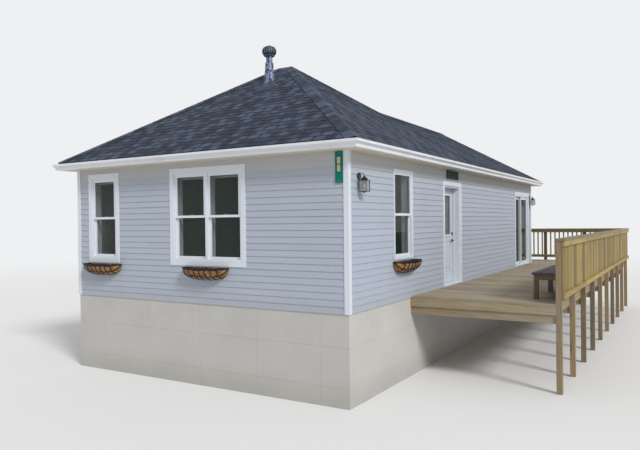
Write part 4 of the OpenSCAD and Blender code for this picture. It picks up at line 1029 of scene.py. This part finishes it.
class BOATHOUSE_OT_caps(bpy.types.Operator):
    """Folded cap shingles that lap each other up the hips and along the ridges"""

    bl_idname = "boathouse.caps"
    bl_label = "Hip and ridge caps"

    def execute(self, context):
        roof = context.scene.boathouse_roof
        toss = random.Random(23)
        half_ridge = EAVE_X - HIP_RUN
        top = EAVE_Z + HIP_PITCH * HIP_RUN
        gable_top = EAVE_Z + GABLE_PITCH * EAVE_X

        def out(inward, pitch):
            return Vector((-inward[0] * pitch, -inward[1] * pitch, 1)).normalized()

        # Each line: its low and high end, and the way out of the slopes on both sides
        lines = []
        for sx in (-1, 1):
            for y, sy in ((-REACH, 1), (HIP_FAR, -1)):
                lines.append((spot(sx * EAVE_X, y, EAVE_Z), spot(sx * half_ridge, HIP_MID, top),
                              out((0, sy), HIP_PITCH), out((-sx, 0), HIP_PITCH)))
        lines.append((spot(-half_ridge - 0.02, HIP_MID, top), spot(half_ridge + 0.02, HIP_MID, top),
                      out((0, 1), HIP_PITCH), out((0, -1), HIP_PITCH)))
        lines.append((spot(0, GABLE_END + 0.01, gable_top), spot(0, VALLEY - 0.1, gable_top),
                      out((1, 0), GABLE_PITCH), out((-1, 0), GABLE_PITCH)))
        thick = roof.ply * 1.3
        made = []
        for low, high, first, second in lines:
            along = (high - low).normalized()
            out_of = (first + second).normalized()
            across = out_of.cross(along).normalized()
            out_of = along.cross(across)
            fold = math.sqrt(1 - first.dot(out_of) ** 2) / first.dot(out_of)
            count = max(1, math.ceil((high - low).length / roof.course))
            # Folded over the line, with its visible half raised on the cap below
            cap = cube("cap", (0, -roof.cap / 2, 0), (roof.course * 1.9, roof.cap / 2, thick))
            whole(cap)
            bpy.ops.mesh.bisect(plane_co=(0, 0, 0), plane_no=(0, 1, 0))
            leave()
            nudge(cap, lambda v: abs(v.co.y) > roof.cap / 4, (0, 0, -fold * roof.cap / 2))
            nudge(cap, lambda v: v.co.x < roof.course, (0, 0, thick * 0.9))
            bevel(cap, 0.0015)
            place = Matrix((along, across, out_of)).transposed().to_4x4()
            lift = Matrix.Translation(low + out_of * (2.0 * roof.ply))
            line = []
            for i in range(count):
                step = Matrix.Translation((i * roof.course, 0, 0))
                line.append(shade(twin(cap, lift @ place @ step),
                                  toss.choice((0.1, 0.35, 0.6, 0.95))))
            drop(cap)
            made.append(cut(join(line, "caps"), high, along, fill=True))
        piece = join(made, "Hip_And_Ridge_Caps")
        hand_in(piece, "house", "shingles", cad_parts["front_roof"].data.materials[0])
        return {"FINISHED"}


class BOATHOUSE_OT_deck_boards(bpy.types.Operator):
    """Deck boards laid square to the side wall, each with eased edges, and their screws"""

    bl_idname = "boathouse.deck_boards"
    bl_label = "Deck boards"

    def execute(self, context):
        deck = context.scene.boathouse_deck
        toss = random.Random(37)
        lo, hi = DECK_LO, DECK_HI
        side_x = ORIGIN.x + HALF_W + TRIM_T + DECK_GAP
        rear_y = ORIGIN.y + HOUSE_L + TRIM_T + DECK_GAP
        half_joint = 0.0015
        length = hi.y - lo.y
        count = round((length + deck.gap) / (deck.board + deck.gap))
        pitch = (length + deck.gap) / count
        wide = pitch - deck.gap
        boards = []

        def board(x0, x1, y0, y1):
            slip = toss.uniform(0.0, 0.003)
            boards.append(lumber("board", (x0 + slip, y0, lo.z), (x1 - 0.0005, y1, hi.z), toss,
                                 0.004))

        for i in range(count):
            y0 = lo.y + i * pitch
            y1 = y0 + wide
            if y0 >= rear_y:
                # Behind the house: three lengths, with joints that change from row to row
                joint = (1.9, 0.4, 3.1)[i % 3] + lo.x
                next_joint = joint + 2.9
                board(lo.x, joint - half_joint, y0, y1)
                board(joint + half_joint, next_joint - half_joint, y0, y1)
                board(next_joint + half_joint, hi.x, y0, y1)
            else:
                board(side_x, hi.x, y0, y1)
                if y1 > rear_y + 0.02:
                    board(lo.x, side_x - 0.002, rear_y, y1)
        piece = join(boards, "Deck_Boards")
        wood = timber("Deck_Timber", deck.boards, "x", 0.5, (0.3, 0.285, 0.26), 0.7)
        hand_in(piece, "house", "deck_timber", wood, "deck_floor")

        margin, screw_r, head_t = 0.02, 0.0042, 0.0012
        head_z = hi.z - head_t / 2
        screw = rod("screw", (side_x + margin, lo.y + wide * 0.25, head_z), screw_r, head_t, 8)
        row(screw, (0, wide * 0.5, 0), 2)
        row(screw, ((hi.x - side_x - 2 * margin) / 5, 0, 0), 6)
        row(screw, (0, pitch, 0), count)
        rear = rod("screw", (lo.x + margin, hi.y - wide * 0.25, head_z), screw_r, head_t, 8)
        row(rear, (0, -wide * 0.5, 0), 2)
        row(rear, ((side_x - lo.x - 0.1) / 12, 0, 0), 13)
        row(rear, (0, -pitch, 0), int((hi.y - rear_y) / pitch))
        screws = join([screw, rear], "Deck_Screws")
        hand_in(screws, "house", "galvanized",
                coat("Screw_Steel", (0.22, 0.21, 0.2), 0.5, 0.8, 200.0))
        return {"FINISHED"}


class BOATHOUSE_OT_railing(bpy.types.Operator):
    """Close-boarded side railing, its rails, and the baluster railing round the rear"""

    bl_idname = "boathouse.railing"
    bl_label = "Railing"

    def execute(self, context):
        deck = context.scene.boathouse_deck
        toss = random.Random(53)
        lo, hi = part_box("railings")
        rail_t, rail_w, picket_t = 0.038, 0.089, 0.019
        gap, most_step = 0.001, 0.14
        low_z, top_z = DECK_HI.z + 0.09, hi.z - rail_w
        board_z = hi.z - gap

        # Side railing: upright boards outside the posts, with the rails outside them
        face = hi.x - rail_t - picket_t
        y0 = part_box("deck_posts")[0].y
        length = hi.y - y0
        count = int((length + deck.picket_gap) / (deck.picket + deck.picket_gap))
        pitch = (length + deck.picket_gap) / count
        uprights = []
        for i in range(count):
            start = y0 + i * pitch
            foot = lo.z + toss.uniform(0.0, 0.006)
            uprights.append(lumber("upright", (face, start, foot),
                                   (face + picket_t, start + pitch - deck.picket_gap, board_z),
                                   toss, 0.002))
        rails, bays = [], 5
        for z in (low_z, top_z):
            for i in range(bays):
                start, end = y0 + i * length / bays, y0 + (i + 1) * length / bays
                rails.append(lumber("rail", (face + picket_t + HAIR, start + gap, z),
                                    (hi.x, end - gap, z + rail_w), toss))

        # Rear railing, and the one that closes the deck's left end: balusters outside rails
        back = hi.y - POST_W - HAIR
        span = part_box("deck_posts")[1].x - POST_W - lo.x - 2 * gap
        left_y = ORIGIN.y + HOUSE_L + TRIM_T + 0.004
        reach = back - rail_t - deck.baluster - left_y - gap
        balusters = []
        steps = math.ceil(span / most_step)
        for i in range(steps + 1):
            x = lo.x + i * (span - deck.baluster) / steps
            balusters.append(lumber("baluster", (x, back - deck.baluster, low_z),
                                    (x + deck.baluster, back, board_z), toss, 0.002))
        steps = math.ceil(reach / most_step)
        for i in range(steps + 1):
            y = left_y + i * (reach - deck.baluster) / steps
            balusters.append(lumber("baluster", (lo.x, y, low_z),
                                    (lo.x + deck.baluster, y + deck.baluster, board_z), toss,
                                    0.002))
        behind, ends, rear_bays = [], [], 3
        inner = back - deck.baluster
        for z in (low_z, top_z):
            for i in range(rear_bays):
                start, end = lo.x + i * span / rear_bays, lo.x + (i + 1) * span / rear_bays
                behind.append(lumber("rail", (start + gap, inner - rail_t, z),
                                     (end - gap, inner - HAIR, z + rail_w), toss))
            ends.append(lumber("rail", (lo.x + deck.baluster + HAIR, left_y, z),
                               (lo.x + deck.baluster + rail_t, left_y + reach, z + rail_w), toss))

        for name, boards, material in (
            # The uprights' dark olive wear patches are partly weathering and partly painted dappled
            # shade
            ("Railing_Uprights", uprights,
             timber("Railing_Boards", deck.rails, "z", 0.35, (0.13, 0.105, 0.045), 0.95)),
            # Painted light: the side and end rails are a lighter copy of the railing timber,
            # standing in for sunlight on them
            ("Railing_Side_Rails", rails + ends,
             timber("Railing_Rails_Painted_Light", [c * 1.3 for c in deck.rails], "y", 0.25,
                    (0.24, 0.21, 0.13))),
            # Painted shade: the rear rails and balusters are darker copies of the railing timber,
            # standing in for shade on the railing's far side
            ("Railing_Rear_Rails_Painted_Shade", behind,
             timber("Railing_Rear_Rails_Painted_Shade", [c * 0.7 for c in deck.rails], "x", 0.35,
                    (0.25, 0.23, 0.18))),
            ("Railing_Balusters_Painted_Shade", balusters,
             timber("Railing_Balusters_Painted_Shade", [c * 0.75 for c in deck.rails], "z", 0.35,
                    (0.27, 0.24, 0.18))),
        ):
            hand_in(join(boards, name), "house", "rail_timber", material, "railings")

        # Two nails where each upright crosses each rail
        nail = rod("nail", (face + picket_t - 0.0008, y0 + pitch * 0.25, low_z + rail_w + 0.02),
                   0.0035, 0.0012, 8, "x")
        row(nail, (0, pitch * 0.45, 0), 2)
        row(nail, (0, pitch, 0), count)
        row(nail, (0, 0, top_z - low_z - rail_w - 0.04), 2)
        hand_in(join([nail], "Railing_Nails"), "house", "galvanized",
                coat("Nail_Steel", (0.16, 0.14, 0.12), 0.6, 0.6, 200.0))
        return {"FINISHED"}


class BOATHOUSE_OT_liners(bpy.types.Operator):
    """Coconut-fibre liners of the planters, with a thick ragged rim"""

    bl_idname = "boathouse.liners"
    bl_label = "Planter liners"

    def body(self, half, depth, blunt):
        """A long round body: its side is drawn point by point and spun about X."""
        bpy.ops.object.select_all(action="DESELECT")
        bpy.ops.mesh.primitive_circle_add(vertices=3, radius=0.001, location=(-half, 0, 0))
        made = settle(bpy.context.object, "liner")
        whole(made)
        bpy.ops.mesh.merge(type="CENTER")
        steps = 16
        last = Vector((-half, 0, 0))
        for k in range(1, steps + 1):
            turn = math.pi * (k / steps - 0.5)
            place = Vector((math.copysign(abs(math.sin(turn)) ** blunt, turn) * half,
                            -max(0.0, math.cos(turn)) ** blunt * depth, 0))
            if k == steps:
                place.y = 0
            bpy.ops.mesh.extrude_vertices_move(TRANSFORM_OT_translate={"value": place - last})
            last = place
        bpy.ops.mesh.select_all(action="SELECT")
        bpy.ops.mesh.spin(steps=64, angle=2 * math.pi, center=(0, 0, 0), axis=(1, 0, 0))
        bpy.ops.mesh.select_all(action="SELECT")
        bpy.ops.mesh.remove_doubles(threshold=0.0001)
        bpy.ops.mesh.normals_make_consistent(inside=False)
        leave()
        return made

    def execute(self, context):
        options = context.scene.boathouse_planter
        wire_r, slack, rim_drop, back_rim = 0.007, 0.001, 0.004, 0.012
        half, depth = options.length / 2 - slack, options.depth - slack
        tilt = options.sag / options.depth
        # Half of the body, flat to the wall, and open above a rim that sags to the front
        shell = self.body(half, depth, options.blunt)
        cut(shell, (0, -slack, 0), (0, 1, 0), fill=True)
        cut(shell, (0, 0, -rim_drop), (0, -tilt, 1))
        pick(shell, lambda p: p.normal.y > 0.9)
        bpy.ops.mesh.inset(thickness=back_rim)
        bpy.ops.mesh.subdivide(number_cuts=1)
        leave()
        face_out(shell)
        modify(shell, "SOLIDIFY", thickness=options.liner, offset=-1)
        modify(shell, "SUBSURF", levels=1, render_levels=1, subdivision_type="SIMPLE")
        lumps = bpy.data.textures.new("liner_lumps", "CLOUDS")
        lumps.noise_scale = 0.035
        modify(shell, "DISPLACE", texture=lumps, texture_coords="LOCAL", mid_level=1.0,
               strength=0.011)
        # Ragged rim, and the inside faces, which get tone 0 so that the fibre finish paints them
        # near-black as painted shade
        pick(shell, lambda v: v.co.z > v.co.y * tilt - 0.0085, "VERT")
        bpy.ops.transform.vertex_random(offset=0.007, uniform=1.0, normal=0.0, seed=5)
        leave()
        tones = shell.data.attributes.new("tone", "FLOAT", "FACE")
        for item, face in zip(tones.data, shell.data.polygons):
            place, way = face.center, face.normal
            out = Vector((place.x * (depth / half) ** 2, place.y, place.z))
            inner = out.dot(way) < 0 or (way.y < -0.5 and place.y > -0.04)
            item.value = 0.0 if inner and abs(way.z) < 0.99 else 1.0
        only(shell)
        bpy.ops.object.shade_smooth()
        made = []
        for side, along, rim in PLANTERS:
            offset = Matrix.Translation((0, -SIDING_T - HAIR - wire_r, rim))
            made.append(twin(shell, wall_matrix(side, along) @ offset))
        drop(shell)
        piece = join(made, "Planter_Liners")
        hand_in(piece, "house", "coco_fibre", fibre_mat(options.fibre), "basket_liners")
        return {"FINISHED"}


class BOATHOUSE_OT_blinds(bpy.types.Operator):
    """Jamb boards inside the windows, raised blinds at their heads, and sash locks"""

    bl_idname = "boathouse.blinds"
    bl_label = "Jamb boards, blinds and locks"

    def lock(self, rail_z):
        """A cam lock with its lever, on the meeting rail."""
        base = bevel(cube("lock", (-0.03, 0.037, rail_z), (0.03, 0.06, rail_z + 0.01)), 0.003, 2)
        cam = bevel(rod("cam", (0, 0.048, rail_z + 0.01), 0.014, 0.01, 16), 0.002)
        lever = bevel(cube("lever", (-0.004, 0.03, rail_z + 0.015), (0.034, 0.04, rail_z + 0.02)),
                      0.002)
        return join([base, cam, lever], "lock")

    def jamb(self, half, head):
        """A lining of boards round one light, from its frame to the inner face of the wall."""
        gap = 0.001
        ring = cube("jamb", (-half + gap, 0.0835, SILL_Z + gap), (half - gap, 0.189, head - gap))
        return bevel(hollow(ring, "y", 0.027), 0.0015)

    def blind(self, half, head):
        """A raised blind: its head box, a stack of slats and the rail at its foot."""
        slat_half = half - 0.005
        box = bevel(cube("head", (-half, 0.1, head - 0.064), (half, 0.15, head - 0.03)), 0.004, 2)
        slat = nudge(cube("slat", (-slat_half, 0.108, head - 0.0675),
                          (slat_half, 0.147, head - 0.066)),
                     lambda v: v.co.y < 0.127, (0, 0, -0.002))
        row(slat, (0, 0, -0.0034), 3)
        foot = bevel(cube("foot", (-slat_half, 0.106, head - 0.101),
                          (slat_half, 0.149, head - 0.079)), 0.004, 2)
        return join([box, slat, foot], "blind")

    def execute(self, context):
        head = SILL_Z + WINDOW_H
        blinds, locks, jambs = [], [], []
        lock = self.lock(SILL_Z + WINDOW_H / 2 + 0.021)
        for side, along, wide, lights in WINDOWS:
            # Each pattern with the list of its copies: the right wall's window shows no blind
            patterns = [(lock, locks), (self.jamb(wide / 2, head), jambs)]
            if side != "right":
                patterns.append((self.blind(wide / 2 - 0.032, head), blinds))
            for i in range(lights):
                place = wall_matrix(side, along) @ Matrix.Translation(
                    ((i - (lights - 1) / 2) * wide, 0, 0))
                for pattern, copies in patterns:
                    copies.append(twin(pattern, place))
            for pattern, copies in patterns[1:]:
                drop(pattern)
        drop(lock)
        hand_in(join(blinds, "Window_Blinds"), "house", "white_vinyl",
                paint("Blind_Slats", (0.78, 0.79, 0.78), 0.5, 0.0002, 0.02))
        hand_in(join(jambs, "Window_Jambs"), "house", "white_trim",
                paint("Jamb_Paint", (0.72, 0.75, 0.8), 0.4, 0.0003, 0.03))
        hand_in(join(locks, "Sash_Locks"), "house", "white_vinyl",
                paint("Lock_Enamel", (0.7, 0.7, 0.69), 0.35, 0.0002, 0.05))
        return {"FINISHED"}


class BOATHOUSE_OT_bench(bpy.types.Operator):
    """Bench built against the side railing: seat boards on bearers, a ledger and legs"""

    bl_idname = "boathouse.bench"
    bl_label = "Bench"

    def execute(self, context):
        bench = context.scene.boathouse_bench
        toss = random.Random(71)
        lo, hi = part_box("deck_bench")
        board_t, bearer_h, leg_w = 0.038, 0.089, 0.075
        top = hi.z - board_t - HAIR
        low = top - bearer_h
        leg_x = lo.x + 0.024
        ledger_x = hi.x - board_t
        inset = 0.07
        legs = [lo.y + inset + i * (hi.y - lo.y - 2 * inset) / 2 for i in range(3)]
        seat, frame_parts, gap = [], [], 0.005
        pitch = (hi.x - lo.x + gap) / bench.boards
        for i in range(bench.boards):
            seat.append(lumber("seat", (lo.x + i * pitch, lo.y, hi.z - board_t),
                               (lo.x + (i + 1) * pitch - gap, hi.y, hi.z), toss, 0.004))
        for y in legs:
            frame_parts.append(lumber("leg", (leg_x, y - leg_w / 2, lo.z),
                                      (leg_x + leg_w, y + leg_w / 2, low - HAIR), toss, 0.004))
            frame_parts.append(lumber("bearer", (leg_x, y - board_t / 2, low),
                                      (ledger_x - HAIR, y + board_t / 2, top), toss))
        for first, second in zip(legs, legs[1:]):
            frame_parts.append(lumber("apron", (leg_x, first + board_t / 2 + HAIR, low),
                                      (leg_x + board_t, second - board_t / 2 - HAIR, top), toss))
        frame_parts.append(lumber("ledger", (ledger_x, lo.y, low), (hi.x, hi.y, top), toss))
        # Painted shade and painted reflection: the seat's dark blue-grey stands for shade and
        # reflected sky on its top
        hand_in(join(seat, "Bench_Boards"), "house", "bench_timber",
                timber("Bench_Top_Shaded_Timber", bench.seat, "y", 0.3, (0.14, 0.135, 0.15), 0.5),
                "deck_bench")
        hand_in(join(frame_parts, "Bench_Legs"), "house", "bench_timber",
                timber("Bench_Leg_Timber", bench.legs, "z", 0.3, (0.19, 0.16, 0.12)),
                "deck_bench")
        return {"FINISHED"}


class BOATHOUSE_OT_plates(bpy.types.Operator):
    """Rims, screws and blank tiles of the sign plates"""

    bl_idname = "boathouse.plates"
    bl_label = "Sign plates"

    def execute(self, context):
        hues = context.scene.boathouse_paint
        lo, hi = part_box("sign_plates")
        plate_w, plate_h, screw_in = 0.13, 0.47, 0.025
        plate_x = ORIGIN.x + HALF_W + TRIM_T - CORNER_W - plate_w - 0.002
        tiles, screws = [], []
        for i in range(2):
            top = hi.z - 0.085 - i * 0.118
            tile = bevel(cube("tile", (plate_x + 0.038, lo.y - 0.006, top - 0.1),
                              (plate_x + 0.092, lo.y - 0.0002, top)), 0.002, 2)
            pick(tile, lambda p: p.normal.y < -0.9 and p.area > 0.003)
            bpy.ops.mesh.inset(thickness=0.005)
            bpy.ops.transform.translate(value=(0, 0.0015, 0))
            leave()
            tiles.append(tile)
        for z in (hi.z - screw_in, hi.z - plate_h + screw_in):
            screws.append(bevel(rod("screw", (plate_x + plate_w / 2, lo.y - 0.002, z), 0.006,
                                    0.003, 16, "y"), 0.001))

        # The board over the door has a rim, and a screw near each end
        board_y, half_w, board_h, side_in = ORIGIN.y + 4.67, 0.345, 0.18, 0.035
        rim = cube("rim", (hi.x + 0.0002, board_y - half_w, hi.z - board_h),
                   (hi.x + 0.006, board_y + half_w, hi.z))
        bevel(hollow(rim, "x", 0.012), 0.0015)
        for y in (board_y - half_w + side_in, board_y + half_w - side_in):
            screws.append(bevel(rod("screw", (hi.x, y, hi.z - board_h / 2), 0.007, 0.003, 16,
                                    "x"), 0.001))
        hand_in(join(tiles, "Blank_Tiles"), "house", "green_plate",
                coat("Tile_Enamel", (0.5, 0.45, 0.27), 0.4))
        hand_in(join([rim], "Sign_Board_Rim"), "house", "green_plate",
                coat("Rim_Enamel", [c * 1.6 for c in hues.board], 0.4))
        hand_in(join(screws, "Plate_Screws"), "house", "galvanized",
                coat("Plate_Screw_Steel", (0.4, 0.4, 0.39), 0.35, 0.9, 200.0))
        return {"FINISHED"}


class BOATHOUSE_OT_lamps(bpy.types.Operator):
    """Bulbs and sockets inside the lanterns"""

    bl_idname = "boathouse.lamps"
    bl_label = "Lantern bulbs"

    def execute(self, context):
        lo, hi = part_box("lantern_glass")
        half, bulb_r = (hi.x - lo.x) / 2, 0.024
        apart = (0, hi.y - lo.y - 2 * half, 0)
        centre = Vector((lo.x + half, lo.y + half, hi.z - 0.083))
        bpy.ops.object.select_all(action="DESELECT")
        bpy.ops.mesh.primitive_uv_sphere_add(segments=24, ring_count=16, radius=bulb_r,
                                             location=centre)
        bulb = settle(context.object, "bulb")
        pick(bulb, lambda v: v.co.z > centre.z + bulb_r / 2, "VERT")
        bpy.ops.transform.resize(value=(0.7, 0.7, 1.0), center_override=centre)
        bpy.ops.transform.translate(value=(0, 0, 0.014))
        leave()
        only(bulb)
        bpy.ops.object.shade_smooth()
        row(bulb, apart, 2)
        socket = bevel(rod("socket", (centre.x, centre.y, hi.z - 0.051), 0.016, 0.0505, 20), 0.002)
        row(socket, apart, 2)
        hand_in(join([bulb], "Lantern_Bulbs"), "house", "lantern_glass",
                coat("Bulb_Glass", (0.8, 0.78, 0.72), 0.2))
        hand_in(join([socket], "Lantern_Sockets"), "house", "white_vinyl",
                coat("Socket_Ceramic", (0.6, 0.58, 0.54), 0.4))
        return {"FINISHED"}


class BOATHOUSE_OT_door_trim(bpy.types.Operator):
    """Raised frames round the entry door's glass, on both faces of the leaf"""

    bl_idname = "boathouse.door_trim"
    bl_label = "Door glass frames"

    def execute(self, context):
        lo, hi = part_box("entry_glass")
        leaf_lo, leaf_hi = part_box("entry_door")
        lap, frame_t, frame_w = 0.03, 0.011, 0.034
        made = []
        for face, out in ((leaf_hi.x, 1), (leaf_lo.x, -1)):
            x0, x1 = sorted((face + out * HAIR, face + out * frame_t))
            ring = cube("ring", (x0, lo.y - lap, lo.z - lap), (x1, hi.y + lap, hi.z + lap))
            made.append(bevel(hollow(ring, "x", frame_w), 0.004, 3))
        hand_in(join(made, "Door_Glass_Frames"), "entry_door", "door_paint",
                paint("Glass_Frame_Vinyl", (0.7, 0.74, 0.8), 0.35, 0.0002, 0.04))
        return {"FINISHED"}


class BOATHOUSE_OT_fins(bpy.types.Operator):
    """Near-black sheets inside the vent's turbine, which close the sight between its vanes: painted
    shade
    """

    bl_idname = "boathouse.fins"
    bl_label = "Turbine shade fins"

    def execute(self, context):
        vanes, clear = 18, 0.007
        lo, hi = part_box("vent_turbine")
        radius, tall = (hi.x - lo.x) / 2, hi.z - lo.z
        centre = Vector(((lo.x + hi.x) / 2, (lo.y + hi.y) / 2, lo.z + tall * 0.47))
        bpy.ops.object.select_all(action="DESELECT")
        bpy.ops.mesh.primitive_uv_sphere_add(segments=vanes * 4, ring_count=24, radius=1)
        fins = bpy.context.object
        fins.scale = (radius - clear, radius - clear, tall * 0.6 - clear)
        settle(fins, "Turbine_Shade_Fins")
        cut(fins, (0, 0, tall * 0.35), (0, 0, 1))
        cut(fins, (0, 0, -tall * 0.4), (0, 0, -1))
        # Every other half step of the vanes stays open
        part = 2 * math.pi / vanes
        pick(fins, lambda p: math.atan2(p.center.y, p.center.x) % part < part / 2)
        bpy.ops.mesh.delete(type="FACE")
        leave()
        modify(fins, "SOLIDIFY", thickness=0.0015)
        fins.data.transform(Matrix.Translation(centre))
        # Painted shade: the near-black sheets stand in for the shade inside the turbine
        hand_in(fins, "turbine", "galvanized",
                coat("Turbine_Painted_Shade", (0.014, 0.017, 0.024), 0.6, 0.2))
        return {"FINISHED"}


OPERATORS = (
    BOATHOUSE_OT_stage,
    BOATHOUSE_OT_finishes,
    BOATHOUSE_OT_shingles,
    BOATHOUSE_OT_caps,
    BOATHOUSE_OT_deck_boards,
    BOATHOUSE_OT_railing,
    BOATHOUSE_OT_bench,
    BOATHOUSE_OT_liners,
    BOATHOUSE_OT_blinds,
    BOATHOUSE_OT_plates,
    BOATHOUSE_OT_lamps,
    BOATHOUSE_OT_door_trim,
    BOATHOUSE_OT_fins,
)


class BOATHOUSE_PT_panel(bpy.types.Panel):
    """Lists the pieces of the boathouse and their settings."""

    bl_idname = "BOATHOUSE_PT_panel"
    bl_label = "Boathouse"
    bl_space_type = "VIEW_3D"
    bl_region_type = "UI"
    bl_category = "Boathouse"

    def draw(self, context):
        layout = self.layout
        for name, group in GROUPS.items():
            box = layout.box()
            settings = getattr(context.scene, name)
            for prop in group.__annotations__:
                box.prop(settings, prop)
        for operator in OPERATORS:
            layout.operator(operator.bl_idname)


def register():
    """Registers the settings, operators and panel."""
    for name, group in GROUPS.items():
        bpy.utils.register_class(group)
        setattr(bpy.types.Scene, name, bpy.props.PointerProperty(type=group))
    for operator in OPERATORS:
        bpy.utils.register_class(operator)
    bpy.utils.register_class(BOATHOUSE_PT_panel)


def unregister():
    """Removes them again."""
    bpy.utils.unregister_class(BOATHOUSE_PT_panel)
    for operator in reversed(OPERATORS):
        bpy.utils.unregister_class(operator)
    for name, group in GROUPS.items():
        delattr(bpy.types.Scene, name)
        bpy.utils.unregister_class(group)


def main():
    """Builds every piece in order."""
    register()
    bpy.ops.boathouse.stage()
    bpy.ops.boathouse.finishes()
    bpy.ops.boathouse.shingles()
    bpy.ops.boathouse.caps()
    bpy.ops.boathouse.deck_boards()
    bpy.ops.boathouse.railing()
    bpy.ops.boathouse.bench()
    bpy.ops.boathouse.liners()
    bpy.ops.boathouse.blinds()
    bpy.ops.boathouse.plates()
    bpy.ops.boathouse.lamps()
    bpy.ops.boathouse.door_trim()
    bpy.ops.boathouse.fins()


if __name__ == "__main__":
    main()
